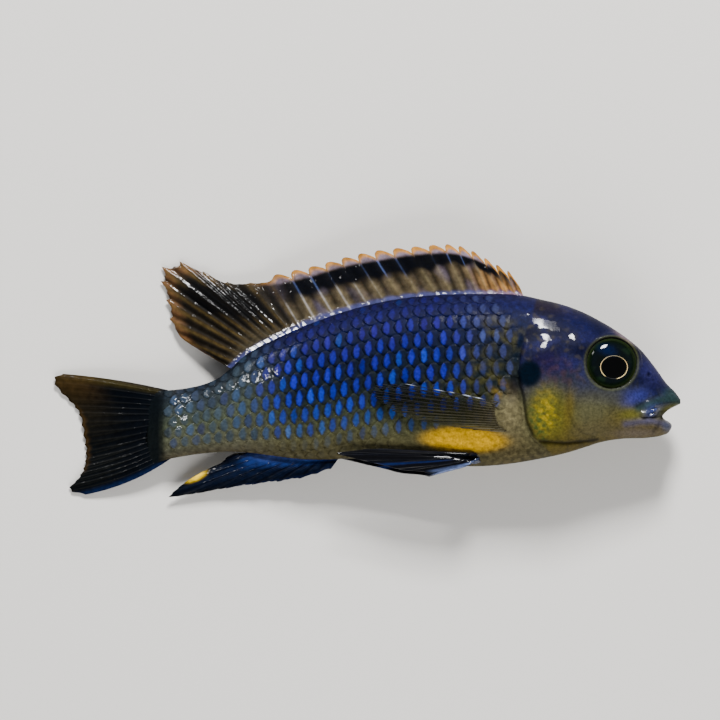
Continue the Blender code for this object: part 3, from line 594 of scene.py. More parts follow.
def write_colour(obj, name, colour, alpha=None):
    """Stores one colour a vertex, for the materials to read."""
    layer = obj.data.color_attributes.new(name, "FLOAT_COLOR", "POINT")
    rgba = np.ones((len(obj.data.vertices), 4), np.float32)
    rgba[:, :3] = colour
    if alpha is not None:
        rgba[:, 3] = alpha
    layer.data.foreach_set("color", rgba.ravel())


# Meshes


def points(mesh):
    """Where a mesh's vertices are, one row each."""
    co = np.empty(len(mesh.vertices) * 3)
    mesh.vertices.foreach_get("co", co)
    return co.reshape(-1, 3)


def named(name):
    """The object that was just added, under its name, and its vertices."""
    obj = bpy.context.object
    obj.name = obj.data.name = name
    return obj, points(obj.data)


def sheet(name, columns, rows):
    """A flat grid, and each vertex's column and row as shares from 0 to 1."""
    bpy.ops.object.select_all(action="DESELECT")
    bpy.ops.mesh.primitive_grid_add(x_subdivisions=columns, y_subdivisions=rows, size=1.0)
    obj, flat = named(name)
    return obj, flat[:, 0] + 0.5, flat[:, 1] + 0.5


def place(obj, x, y, z):
    """Moves every vertex of a mesh, in millimetres."""
    co = np.stack([x, y, z], axis=-1) * MM
    obj.data.vertices.foreach_set("co", co.astype(np.float32).ravel())
    obj.data.update()


def only(obj):
    """Selects one object and no other."""
    bpy.ops.object.select_all(action="DESELECT")
    obj.select_set(True)
    bpy.context.view_layer.objects.active = obj


def tidy(obj, outward=True):
    """Closes seams and poles, turns the faces outwards and shades the surface smooth."""
    only(obj)
    bpy.ops.object.mode_set(mode="EDIT")
    bpy.ops.mesh.select_all(action="SELECT")
    bpy.ops.mesh.remove_doubles(threshold=0.000001)
    if outward:
        bpy.ops.mesh.normals_make_consistent(inside=False)
    bpy.ops.object.mode_set(mode="OBJECT")
    bpy.ops.object.shade_smooth()


def apply_all(obj):
    """Applies the object's modifiers."""
    only(obj)
    for modifier in list(obj.modifiers):
        bpy.ops.object.modifier_apply(modifier=modifier.name)


def finish_piece(obj, material):
    """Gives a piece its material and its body."""
    obj.data.materials.clear()
    obj.data.materials.append(material)
    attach(obj, "root")


def write_uv(obj, name, u, v):
    """A UV map from one (u, v) a vertex."""
    layer = obj.data.uv_layers.get(name) or obj.data.uv_layers.new(name=name)
    corner = np.empty(len(obj.data.loops), np.int32)
    obj.data.loops.foreach_get("vertex_index", corner)
    pairs = np.stack([u[corner], v[corner]], axis=-1)
    layer.uv.foreach_set("vector", pairs.astype(np.float32).ravel())


def skin_unwrap(x, turn):
    """Where a place on the body lies on the skin's own unwrap."""
    return 0.02 + 0.96 * (x - SKIN_START_X) / SKIN_LENGTH, 0.02 + 0.96 * turn / (2 * math.pi)


def spots_on_skin(colour, x, y, z, spots):
    """Adds to the skin's colour the spots that the scales over it carry."""
    tree = KDTree(len(spots))
    for i, spot in enumerate(spots):
        tree.insert(spot[:3], i)
    tree.balance()
    scaled = np.nonzero(x < SCALED_X)[0]
    near = np.array([spots[tree.find((x[i], y[i], z[i]))[1]] for i in scaled])
    along = np.abs(x[scaled] - near[:, 0])
    across = np.hypot(y[scaled] - near[:, 1], z[scaled] - near[:, 2]) / near[:, 3]
    share = falling((1.6 * across) ** 2 + (2.6 * along) ** 1.5, 0.45, 1.1) * near[:, 7]
    colour[scaled] += (near[:, 4:7] - colour[scaled]) * share[:, None]
    return colour


def make_skin(material, spots):
    """One skin from tail root to snout, over both flanks, with most faces at the mouth."""
    stations = np.concatenate([
        np.linspace(SKIN_START_X, 13.4, 82), np.linspace(13.5, 30.4, 118), np.linspace(30.5, 34.95, 50),
    ])
    obj, u, v = sheet("skin", len(stations) - 1, SKIN_AROUND)
    x = np.interp(u, np.linspace(0, 1, len(stations)), stations)
    turn = v * 2 * math.pi
    write_uv(obj, "OFBake", *skin_unwrap(x, turn))
    for extra in [layer for layer in obj.data.uv_layers if layer.name != "OFBake"]:
        obj.data.uv_layers.remove(extra)
    ends = (u < 1e-6) | (u > 1 - 1e-6)
    median = curve(MEDIAN, x)
    x, y, z = skin_form(x, turn)
    z = np.where(ends, median, z)
    place(obj, x, y, z)
    # painted shade: where the lips part, close to the median plane, the skin is painted near black for the
    # dark inside of the open mouth
    inside = crease(MOUTH_WEB + [(35.2, -3.8)], x, y, 0.5)
    inside = inside * falling(np.abs(z - median), 0.15, 0.45) * ramp(x, 31.5, 32.5)
    colour = spots_on_skin(skin_colour(x, y), x, y, z, spots)
    write_colour(obj, "paint", over(colour, "#020102", inside), wetness(x, y))
    tidy(obj)
    finish_piece(obj, material)
    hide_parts("head", "lower_jaw", "gill_cover_right", "gill_cover_left", "trunk", "tail_stalk")


class Flank:
    """One flank of the trunk, read by x and by the distance round the body from the middle row."""

    step = 0.2

    def __init__(self, side):
        self.x = np.arange(-24.4, 21.0, self.step)
        self.arc = np.arange(-14.0, 14.0, ARC_STEP)
        turn = np.linspace(0, math.pi, 361)
        turn = turn if side > 0 else 2 * math.pi - turn
        self.y = np.empty((len(self.x), len(self.arc)))
        self.out = np.empty_like(self.y)
        self.turn = np.empty_like(self.y)
        self.top = np.empty(len(self.x))
        self.foot = np.empty(len(self.x))
        for i, x in enumerate(self.x):
            _, y, z = skin_form(np.full(len(turn), x), turn)
            out = side * (z - curve(MEDIAN, x))
            run = np.concatenate([[0], np.cumsum(np.hypot(np.diff(y), np.diff(out)))])
            middle = np.interp(-curve(MIDDLE_ROW, x), -y, run)
            self.top[i], self.foot[i] = middle, middle - run[-1]
            at = middle - self.arc
            self.y[i] = np.interp(at, run, y)
            self.out[i] = np.interp(at, run, out)
            self.turn[i] = np.interp(at, run, turn)

    def read(self, x, arc):
        """y, distance out, the section's normal (y, out), and the turn, at many places."""
        i = np.clip((x - self.x[0]) / self.step, 0, len(self.x) - 1.001)
        j = np.clip((arc - self.arc[0]) / ARC_STEP, 1, len(self.arc) - 2.001)
        i0, j0 = i.astype(int), j.astype(int)
        fi, fj = i - i0, j - j0

        def mix(table, shift=0):
            low = table[i0, j0 + shift] * (1 - fj) + table[i0, j0 + shift + 1] * fj
            high = table[i0 + 1, j0 + shift] * (1 - fj) + table[i0 + 1, j0 + shift + 1] * fj
            return low * (1 - fi) + high * fi

        wide = 4
        j0 = np.clip(j0, wide, len(self.arc) - wide - 2)
        dy = mix(self.y, wide) - mix(self.y, -wide)
        dout = mix(self.out, wide) - mix(self.out, -wide)
        size = np.maximum(np.hypot(dy, dout), 1e-6)
        return mix(self.y), mix(self.out), -dout / size, dy / size, mix(self.turn)


def scale_blank():
    """One scale: a rounded plate, root first, as (along, across, lift) in shares of its size."""
    obj, p, q = sheet("scale_blank", 5, 6)
    q = q * 2 - 1
    root, edge = SCALE_REACH
    free = -edge + edge * np.abs(q) ** SCALE_POINT * SCALE_SPREAD
    along = root + (free - root) * p
    lift = COAT * p * (1 - 0.4 * q * q) - 0.04 * falling(p, 0.0, 0.3)
    place(obj, along, q, lift)
    solid = obj.modifiers.new("thickness", "SOLIDIFY")
    solid.thickness = SCALE_SHEET * MM
    solid.offset = -1
    apply_all(obj)
    shape, faces = points(obj.data) / MM, [tuple(f.vertices) for f in obj.data.polygons]
    bpy.data.objects.remove(obj)
    return shape, faces


def scale_stations():
    """Where scales are centred along the body, at half the pitch; every other one is in a row."""
    ahead, behind = [SCALE_START_X], [SCALE_START_X]
    while ahead[-1] < 21.0:
        ahead.append(ahead[-1] + float(curve(SCALE_PITCH, ahead[-1])) / 2)
    while behind[-1] > -24.0:
        behind.append(behind[-1] - float(curve(SCALE_PITCH, behind[-1])) / 2)
    # the middle row has a scale at the start
    extra = behind[:0:-1] if len(behind) % 2 else behind[-2:0:-1]
    return extra + ahead


def make_scales(side, word, material):
    """All the scales of one flank in one mesh, in rows along the body; returns their spots."""
    flank = Flank(side)
    blank, blank_faces = scale_blank()
    dice = np.random.default_rng(7 if side > 0 else 8)
    xs, arcs, sizes = [], [], []
    stations = scale_stations()
    for row, level in ROW_HEIGHTS:
        gap = curve(ROW_HEIGHTS, row + 0.5) - curve(ROW_HEIGHTS, row - 0.5)
        for n, x in enumerate(stations):
            if (n + row) % 2:
                continue
            shrink = float(curve(ROW_SHRINK, x))
            arc = level * shrink
            top = np.interp(x, flank.x, flank.top)
            foot = np.interp(x, flank.x, flank.foot)
            nearest = int(np.clip((x - flank.x[0]) / flank.step, 0, len(flank.x) - 1))
            y = float(np.interp(arc, flank.arc, flank.y[nearest]))
            # the rows end at the gill cover, at the shoulder, and at the dorsal fin's sheath
            sheath = 0.25 + 0.6 * float(ramp(x, 2.0, 9.0))
            free = past_gill(x, y) < -0.3 and -22.5 < x < 16.9 - 0.3 * max(0.0, y - 1.0)
            if not (free and foot + 0.3 < arc < top - sheath):
                continue
            if math.hypot((x - PECTORAL_LOBE[0]) / 1.5, (y - PECTORAL_LOBE[1]) / 2.0) < 1:
                continue
            moved = x + dice.normal(0, 0.035), arc + dice.normal(0, 0.03)
            # the chest's scales are too small to see
            chest = float(ramp(x, 1.0, 5.0) * falling(y, -7.0, -5.8))
            if chest > 0.7:
                continue
            xs.append(moved[0])
            arcs.append(moved[1])
            depth = (arc - foot) / (top - foot)
            low, high = float(ramp(depth, 0.06, 0.24)), float(ramp(depth, 0.82, 0.95))
            flat = max(chest, 0.8 * (1 - low), 0.7 * high)
            sizes.append((
                1 + dice.normal(0, 0.03), gap * shrink * SCALE_HALF_HEIGHT, dice.normal(0, 0.02),
                1 - 0.85 * flat))
    n, m = len(xs), len(blank)
    centre_x, centre_arc = np.array(xs)[:, None], np.array(arcs)[:, None]
    long, tall, tilt, stand = (np.array(column)[:, None] for column in zip(*sizes))
    a = blank[None, :, 0] * long
    c = blank[None, :, 1] * tall
    # rows rise and fall with the body, so a scale turns with its row
    shrink = curve(ROW_SHRINK, centre_x)
    slope = (curve(ROW_SHRINK, centre_x + 0.3) - curve(ROW_SHRINK, centre_x - 0.3)) / 0.6
    slope = slope * centre_arc / shrink
    x = centre_x + a
    arc = centre_arc + c + slope * a
    top = np.interp(x, flank.x, flank.top)
    foot = np.interp(x, flank.x, flank.foot)
    arc = np.clip(arc, foot + 0.02, top - 0.02)
    y, out, normal_y, normal_out, _ = flank.read(x, arc)
    lift = (blank[None, :, 2] + tilt * blank[None, :, 0] * 0.4) * stand
    y = y + normal_y * lift
    z = np.maximum(curve(MEDIAN, x) + side * (out + normal_out * lift), 0.01)
    # how far each vertex lies from its scale's free edge
    free = -SCALE_REACH[1] * (1 - SCALE_SPREAD * np.abs(blank[:, 1]) ** SCALE_POINT)
    inward = np.tile(blank[:, 0] - free, n)
    shape = np.stack([x, y, z], axis=-1).reshape(-1, 3) * MM
    faces = [[i * m + v for v in face[::side]] for i in range(n) for face in blank_faces]
    mesh = bpy.data.meshes.new(f"scales_{word}")
    mesh.from_pydata(shape, [], faces)
    obj = bpy.data.objects.new(f"scales_{word}", mesh)
    bpy.context.scene.collection.objects.link(obj)
    fx, fy = x.ravel(), y.ravel()
    ground = ground_colour(fx, fy)
    root_y, root_out, _, _, root_turn = flank.read(centre_x, centre_arc)
    spot, strong = spot_colour(centre_x[:, 0], root_y[:, 0])
    vary = dice.normal(0, 1, n)
    hue = dice.random(n)
    spot = spot * (1 + 0.2 * vary)[:, None]
    spot = over(spot, "#1C1058", 0.5 * ramp(hue, 0.4, 1.0) * strong)
    spot = np.clip(over(spot, "#104C98", 0.25 * ramp(-hue, -0.25, 0.0) * strong), 0, 1)
    root_z = curve(MEDIAN, centre_x) + side * root_out
    spots = np.hstack([centre_x, root_y, root_z, tall, spot, strong[:, None]])
    write_colour(obj, "paint", ground, inward)
    write_colour(obj, "spot", np.repeat(spot, m, axis=0), np.repeat(strong, m))
    # red: where water stands on the scales; green: how light their edges are; blue: how far each
    # spot fills its scale; alpha: how uneven the water is
    rough = 2.0 * blob(fx, fy, (-20.9, -5.6), (1.3, 2.5), power=3.0)
    rough = rough + blob(fx, fy, (-14.9, -2.1), (2.1, 0.9), 0.3, 3.0)
    rough = rough + blob(fx, fy, (-11.0, -1.0), (1.8, 0.9), 0.2, 3.0)
    rough = rough + 0.8 * blob(fx, fy, (15.9, -1.6), (0.8, 1.4), power=3.0)
    edges = 0.75 + 0.4 * ramp(-fx, 6.0, 14.0)
    finish = np.stack([np.clip(rough, 0, 1), edges, ramp(-fx, 8.0, 15.0)], axis=-1)
    write_colour(obj, "finish", finish, 0.1 + 0.8 * rough)
    own_v, own_u = (np.tile(0.5 + blank[:, i] / SCALE_SPAN, n) for i in (0, 1))
    write_uv(obj, "Scale", own_u, own_v)
    root_u, root_v = skin_unwrap(centre_x, root_turn)
    patch_u, patch_v = root_u + blank[None, :, 0] * PATCH, root_v + blank[None, :, 1] * PATCH
    write_uv(obj, "OFBake", patch_u.ravel(), patch_v.ravel())
    tidy(obj, outward=False)
    finish_piece(obj, material)
    return [tuple(float(value) for value in row) for row in spots]


# Fins


def by_ray(rows, k):
    """The place that a table of (ray, x, y) gives to each ray."""
    return curve(rows, k), curve(rows, k, 2)


def ridges(k, t, branch):
    """Height of the rays over the membrane, from 0 to 1; soft rays part in two towards the edge."""
    off = np.abs(k - np.round(k))
    plain = bell(off, 0.13)
    parted = bell(off - 0.2 * ramp(t, 0.35, 0.95), 0.09)
    stem = bell(off, 0.08) * falling(t, 0.3, 0.7)
    return plain * (1 - branch) + np.maximum(parted, stem) * branch


def fin_sheet(name, rays, fine, rows, base, tip, height, edge, thick, bow=None, inset=ROOT_INSET):
    """A fin: returns the mesh, then for each vertex its ray, its share of the ray's length, its
    distance from the fin's edge, and its place."""
    obj, u, t = sheet(name, (rays - 1) * fine, rows)
    k = u * (rays - 1)
    near = np.round(k)
    k = np.where(np.abs(k - near) < 1e-4, near, k)
    share = k - np.floor(k)
    root_x, root_y = base(k)
    end_x, end_y = tip(k)
    length = np.hypot(end_x - root_x, end_y - root_y)
    way_x, way_y = (end_x - root_x) / length, (end_y - root_y) / length
    grow = edge(k, share)
    aside = 4 * t * (1 - t) * bow(k) if bow else 0.0
    reach = (length + grow) * t - inset * (1 - t)
    x = root_x + way_x * reach - way_y * aside
    y = root_y + way_y * reach + way_x * aside
    z = height(x, y, k, t)
    span = thick(k, t)
    z = np.maximum(z, FLOOR_AIR + span / 2)
    place(obj, x, y, z)
    group = obj.vertex_groups.new(name="thick")
    most = float(span.max())
    for i, value in enumerate(span / most):
        group.add([i], float(value), "REPLACE")
    solid = obj.modifiers.new("thickness", "SOLIDIFY")
    solid.thickness = most * MM
    solid.offset = 0
    solid.vertex_group = "thick"
    solid.use_rim = True
    return obj, k, t, (length + grow) * (1 - t), x, y


def end_fin(obj, colour, material, node, wet=None):
    """Paints a fin, makes it solid and closes it."""
    write_colour(obj, "paint", colour, wet)
    apply_all(obj)
    obj.vertex_groups.clear()
    tidy(obj)
    finish_piece(obj, material)
    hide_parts(node)


def past_root(base, tips, k, t):
    """How far along its ray a vertex lies from the fin's root line, in millimetres."""
    (root_x, root_y), (end_x, end_y) = base(k), by_ray(tips, k)
    return t * np.hypot(end_x - root_x, end_y - root_y) - ROOT_INSET * (1 - t)


def dorsal_fin(material):
    """The back fin: spines with pale lappets in front, and soft rays behind."""
    last = DORSAL_SPINES - 1

    def base(k):
        x = curve(DORSAL_BASE, k)
        return x, curve(BACK, x)

    def height(x, y, k, t):
        ripple = 0.05 * np.sin(2 * math.pi * k) * t
        return curve(MEDIAN, base(k)[0]) - curve(DORSAL_DROP, k) * t**1.4 + ripple

    def edge(k, share):
        bulge = np.abs(np.sin(math.pi * share))
        leaf = np.abs(np.sin(math.pi * share**1.3)) ** 0.6 * (0.8 + 0.3 * share)
        leaf = leaf + 0.12 * np.sin(5.1 * np.floor(k)) * bulge
        frayed = 0.25 + 0.75 * ramp(k, 17.4, 18.6) * falling(k, 23.5, 25.0)
        comb = bulge**0.8 + 0.5 * np.abs(np.sin(2 * math.pi * share))
        comb = comb + 0.25 * np.sin(7.3 * np.floor(k)) * bulge
        notch = 0.35 + 0.45 * falling(k, 2.0, 5.0)
        return np.where(k < last, (LAPPET + notch) * leaf - notch, -0.55 * frayed * comb)

    def thick(k, t):
        # a fold of flesh runs along the fin's base, and slopes evenly down to the membrane
        branch = ramp(k, last + 0.3, last + 1.2)
        wide = 0.3 + 0.35 * ramp(k, 11.0, 14.0)
        fold = 0.96 * np.clip(wide - past_root(base, DORSAL_TIPS, k, t), 0.0, 0.9)
        ray = (0.3 - 0.24 * branch) * (1 - 0.7 * t) * ramp(t, 0.0, 0.2) * ridges(k, t, branch)
        return 0.14 + ray + fold

    obj, k, t, e, x, y = fin_sheet(
        "dorsal_membrane", DORSAL_RAYS, 10, 46, base, lambda k: by_ray(DORSAL_TIPS, k), height, edge, thick)
    soft = ramp(k, last - 1.0, last + 1.5)
    share = k - np.floor(k)
    ray = ridges(k, t, ramp(k, last + 0.3, last + 1.2))
    streak = ragged(k * 3.0 + t * 2.0, t * 4.0, 1.4, 1.1)
    colour = stops(t, [(0.0, "#322E22"), (0.2, "#4C4332"), (0.6, "#463C2C"), (1.0, "#33291C")])
    colour = layers(colour, [
        ("#A87840", 0.85 * falling(k, 2.0, 6.0) * falling(t, 0.35, 0.8)),
        ("#0C0A06", 0.75 * bell(share - 0.6 + 0.25 * t, 0.16) * ramp(t, 0.05, 0.3)),
        ("#141208", 0.5 * ramp(streak, 0.0, 0.7)),
    ])
    cloud = ragged(k * 2.4 - t * 1.5, t * 3.2, 1.5, 5.0)
    colour = layers(colour, [
        ("#544E68", 0.4 * ramp(cloud, 0.0, 0.8) * (1 - soft)),
        ("#0C0906", 0.85 * soft * ramp(t, 0.0, 0.3) * falling(t, 0.8, 0.95)),
    ])
    # the black band runs under the line that joins the tips of the spines
    line = e - edge(k, share)
    deep = 0.6 + 0.4 * ramp(k, 4.0, 9.0)
    band = ramp(line, 0.35, 0.75) * falling(line + 0.45 * streak, 2.1 * deep, 3.1 * deep)
    band = band * ramp(k, 1.0, 2.6)
    colour = over(colour, "#010206", band * (1 - soft))
    above = falling(line, 0.25, 0.65) * (1 - soft)
    chance = 0.5 + 0.5 * np.sin(12.9 * np.floor(k))
    # the spines show through as pale lines, and painted highlights on them stand for their wet gleams:
    # whitish on the membrane, bluish in the band
    spine = bell(k - np.round(k), 0.05) * (1 - soft)
    luck = 0.5 + 0.5 * np.sin(7.7 * np.round(k))
    colour = layers(colour, [
        ("#4C5C90", 0.5 * spine * band * luck**2),
        ("#A8A8B0", 0.5 * spine * (1 - band) * ramp(line, 1.5, 2.5) * ramp(k, 10.0, 14.0)),
        ("#857684", (0.5 + 0.4 * chance) * above * ramp(e, 0.15, 0.4) * ramp(k, 2.0, 4.0)),
    ])
    orange = (0.75 + 0.2 * chance) * falling(e - 0.25 * share, 0.1 + 0.15 * chance, 0.5)
    colour = layers(colour, [
        ("#AE7830", orange * np.where(k < 3.0, 1 - soft, above)),
        ("#6A4416", 0.6 * falling(e, 0.05, 0.14) * above),
        ("#6A4A2C", 0.75 * soft * falling(e, 0.4, 2.2) * ramp(k, 18.5, 20.0)),
        ("#564624", 0.5 * soft * bell(share - 0.15, 0.14) * ramp(t, 0.05, 0.3)),
        ("#0A0806", 0.75 * soft * bell(share - 0.6, 0.22) * ramp(t, 0.05, 0.3)),
    ])
    blotch = blob(x, y, (-14.4, 7.4), (3.9, 1.9), -0.25, 3.0)
    blotch = blotch + blob(x, y, (-18.3, 8.2), (2.4, 1.2), -0.6, 3.0)
    colour = layers(colour, [
        ("#020203", 0.97 * np.clip(1.3 * blotch, 0, 1)),
        ("#7C7050", 0.3 * ray * (1 - soft) * (1 - band)),
    ])
    off_root = past_root(base, DORSAL_TIPS, k, t)
    colour = over(colour, "#2A3470", 0.6 * falling(off_root, 0.2, 0.6))
    # water stands along the rear of the base, on the soft tips and in a few folds
    rear = ramp(k, 14.8, 16.2) * falling(k, 22.5, 23.5) + 0.9 * bell(k - 10.8, 0.9)
    wet = 0.1 + falling(off_root, 0.65, 0.85) * (0.2 + 0.8 * np.clip(rear, 0, 1)) * (1 - 0.5 * blotch)
    wet = wet + 0.45 * ramp(t, 0.6, 0.8) * ramp(k, 17.5, 19.5) * falling(k, 22.5, 23.5)
    for centre, radii, turn in (((2.2, 11.0), (0.7, 1.2), 0.2), ((6.8, 12.2), (0.7, 1.0), 0.2),
                                ((11.2, 11.5), (3.8, 1.2), -0.5), ((-9.6, 6.6), (2.6, 1.5), 0.3)):
        wet = wet + 0.5 * blob(x, y, centre, radii, turn, 3.0)
    end_fin(obj, colour, material, "dorsal_fin", np.clip(wet, 0, 1))


def caudal_fin(material):
    """The tail fin, half folded and nearly black."""
    root_x, root_top, root_foot = CAUDAL_ROOT

    def base(k):
        return np.full(np.shape(k), root_x), root_top + (root_foot - root_top) * k / (CAUDAL_RAYS - 1)

    def height(x, y, k, t):
        return curve(MEDIAN, root_x) - CAUDAL_DROP * t + 0.08 * np.sin(1.1 * k) * t

    def edge(k, share):
        return -0.22 * np.sin(math.pi * share)

    def bow(k):
        share = k / (CAUDAL_RAYS - 1)
        return CAUDAL_BOW[0] * (1 - share) ** 2 + CAUDAL_BOW[1] * share**2

    def thick(k, t):
        return 0.16 + 0.11 * (1 - 0.6 * t) * ridges(k, t, 1.0)

    obj, k, t, e, _, _ = fin_sheet(
        "caudal_membrane", CAUDAL_RAYS, 12, 44, base, lambda k: by_ray(CAUDAL_TIPS, k), height, edge, thick,
        bow)
    colour = stops(t, [(0.0, "#14181A"), (0.12, "#04070C"), (0.4, "#020408"), (1.0, "#040608")])
    colour = layers(colour, [
        ("#1C1A10", 0.25 * ridges(k, t, 1.0) * ramp(t, 0.2, 0.7)),
        ("#3A3210", 0.6 * falling(k, 0.4, 2.0) * ramp(t, 0.05, 0.15)),
        ("#463212", 0.65 * falling(k, 1.0, 5.0) * ramp(t, 0.5, 1.0)),
        ("#1C160A", 0.6 * falling(k, 4.0, 10.0) * ramp(t, 0.5, 1.0)),
        ("#3C2A10", 0.45 * falling(e, 0.15, 0.6) * falling(abs(k - 8.5), 3.0, 5.0)),
        ("#0A1838", 0.7 * ramp(k, 15.8, 16.9)),
        ("#0A1028", 0.4 * falling(k, 0.0, 1.0) * falling(t, 0.3, 0.7)),
    ])
    end_fin(obj, colour, material, "caudal_fin", 0.05)


def anal_fin(material):
    """The anal fin, laid back, with its yellow egg spot."""
    def base(k):
        x = ANAL_BASE[0] + (ANAL_BASE[1] - ANAL_BASE[0]) * k / (ANAL_RAYS - 1)
        return x, curve(BELLY, x)

    def height(x, y, k, t):
        return curve(MEDIAN, base(k)[0]) - curve(ANAL_DROP, k) * t**1.3 + 0.1 * np.sin(1.7 * k) * t

    def edge(k, share):
        comb = 0.3 * np.abs(np.sin(3 * math.pi * share)) * ramp(k, 1.0, 4.0)
        return -(0.25 * np.sin(math.pi * share) + comb) * (1 - 0.8 * bell(k - 8.5, 1.0))

    def below(k, t):
        """How far a vertex hangs below the belly's line; the rays leave it at a slant."""
        (root_x, root_y), (end_x, end_y) = base(k), by_ray(ANAL_TIPS, k)
        slant = (root_y - end_y) / np.hypot(end_x - root_x, end_y - root_y)
        return past_root(base, ANAL_TIPS, k, t) * slant

    def thick(k, t):
        # a fold of flesh along the base rises evenly to a crest, and is fuller towards the tail
        fall = below(k, t)
        fuller = 0.1 * np.clip(-12.2 - base(k)[0], -1.8, 1.8) * ramp(fall, 0.0, 0.2)
        fold = (1.5 * np.clip(fall + 0.05, 0.0, 0.5) + fuller) * falling(fall, 0.6, 1.4)
        ray = 0.16 * (1 - 0.55 * t) * ramp(fall, 0.5, 0.8) * ridges(k, t, ramp(k, 3.0, 4.0))
        return 0.16 + ray + fold

    obj, k, t, e, x, y = fin_sheet(
        "anal_membrane", ANAL_RAYS, 14, 44, base, lambda k: by_ray(ANAL_TIPS, k), height, edge, thick)
    # the blue along the base is partly the fin's own colour and partly a painted sheen
    colour = stops(t, [(0.0, "#34427C"), (0.2, "#182A60"), (0.4, "#081228"), (1.0, "#03060B")])
    colour = layers(colour, [
        ("#020308", 0.6 * ridges(k, t, 0.0) * ramp(t, 0.1, 0.3)),
        ("#101C40", 0.4 * bell(e - 0.15, 0.25) * falling(k, 4.0, 6.0)),
    ])
    egg = blob(x, y, EGG_SPOT, (1.3, 0.55), EGG_TURN, 5.0)
    colour = over(colour, "#DCB400", egg)
    # painted highlight: a pale glint on the egg spot's upper side
    shine = blob(x, y, (EGG_SPOT[0] - 0.2, EGG_SPOT[1] + 0.15), (0.8, 0.2), EGG_TURN)
    colour = over(colour, "#F4E08C", 0.8 * shine)
    near_root = falling(below(k, t), 0.5, 0.7)
    wet = 0.15 + near_root * (0.3 + 0.6 * np.exp(-(((x + 12.2) / 2.6) ** 4)))
    end_fin(obj, colour, material, "anal_fin", wet * (1 - egg))


def flank_out(x, y, side):
    """The flank's plain distance from the median plane at (x, y)."""
    top, foot = curve(BACK, x), curve(BELLY, x)
    power = curve(SQUARENESS, x)
    share = np.clip(np.abs(y - (top + foot) / 2) / ((top - foot) / 2), 0, 1)
    return half_width(x, side) * (1 - share**power) ** (1 / power)


def pectoral_fin(side, word, ray_material, film_material):
    """A clear chest fin along the flank, with its rays as thin strips."""
    def base(k):
        return by_ray(PECTORAL_BASE, k)

    def height(x, y, k, t):
        # the root sinks into the flesh of its lobe
        out = flank_out(x, y, side) + 0.5 + 0.06 * np.sin(2.3 * k) * t - 0.8 * falling(t, 0.02, 0.16)
        return curve(MEDIAN, x) + side * out

    def edge(k, share):
        return -0.2 * np.sin(math.pi * share)

    def film(k, t):
        return np.full(np.shape(k), PECTORAL_FILM)

    obj, k, t, _, x, y = fin_sheet(
        f"pectoral_film_{word}", PECTORAL_RAYS, 6, 30, base, lambda k: by_ray(PECTORAL_TIPS, k), height, edge,
        film, inset=1.3)
    low = ramp(k, 3.0, 9.0)[..., None]
    film_colour = stops(t, [(0.0, "#4C4C3A"), (1.0, "#121810")])
    film_colour = film_colour + (linear("#4E4A30") - film_colour) * low
    film_colour = over(film_colour, "#68604A", blob(x, y, (15.2, -5.1), (3.4, 2.8), power=3.0))
    end_fin(obj, film_colour, film_material, f"pectoral_fin_{word}")
    # each ray is a thin strip that parts in two towards its tip
    for part, lean in (("front", -1), ("rear", 1)):
        columns = PECTORAL_RAYS * RAY_FACES
        obj, u, t = sheet(f"pectoral_rays_{word}_{part}", columns, 30)
        number = np.minimum(np.floor(u * columns / RAY_FACES + 1e-6), PECTORAL_RAYS - 1)
        inside = np.clip(u * columns - number * RAY_FACES, 0, RAY_FACES - 1)
        k = number + (inside - 1) * (0.1 - 0.045 * t) + lean * 0.2 * ramp(t, 0.3, 1.0)
        k = np.clip(k, 0, PECTORAL_RAYS - 1)
        root_x, root_y = base(k)
        end_x, end_y = by_ray(PECTORAL_TIPS, k)
        length = np.hypot(end_x - root_x, end_y - root_y)
        reach = (length - 0.1) * t - 1.2 * (1 - t)
        x = root_x + (end_x - root_x) / length * reach
        y = root_y + (end_y - root_y) / length * reach
        place(obj, x, y, np.maximum(height(x, y, k, t) + side * 0.05, FLOOR_AIR + 0.06))
        only(obj)
        # only the gaps between the rays are selected, and deleted
        bpy.ops.object.mode_set(mode="EDIT")
        bpy.ops.mesh.select_all(action="DESELECT")
        bpy.ops.object.mode_set(mode="OBJECT")
        gaps = (np.arange(len(obj.data.polygons)) % columns) % RAY_FACES == RAY_FACES - 1
        obj.data.polygons.foreach_set("select", gaps)
        bpy.ops.object.mode_set(mode="EDIT")
        bpy.ops.mesh.select_mode(type="FACE")
        bpy.ops.mesh.delete(type="FACE")
        bpy.ops.object.mode_set(mode="OBJECT")
        solid = obj.modifiers.new("thickness", "SOLIDIFY")
        solid.thickness = RAY_THICKNESS * MM
        solid.offset = 0
        apply_all(obj)
        x, y, _ = points(obj.data).T / MM
        # the leading edge is painted with a broken pale line, a painted highlight for the gleam of its wet
        # edge
        d, along = near_line([(14.6, -3.5), (4.7, -1.5)], x, y)
        broken = ramp(np.sin(4.1 * x) + np.sin(1.7 * x), 0.0, 0.9)
        write_colour(obj, "paint", layers(np.tile(linear("#040404"), (len(x), 1)), [
            ("#2E2C1A", 0.9 * ramp(-y, 3.6, 5.4)),
            ("#5C5642", blob(x, y, (15.4, -5.1), (3.4, 2.8), power=3.0)),
            ("#A0A8B8", 0.9 * bell(d, 0.16) * ramp(along, 0.0, 0.1) * broken),
        ]))
        tidy(obj)
        finish_piece(obj, ray_material)


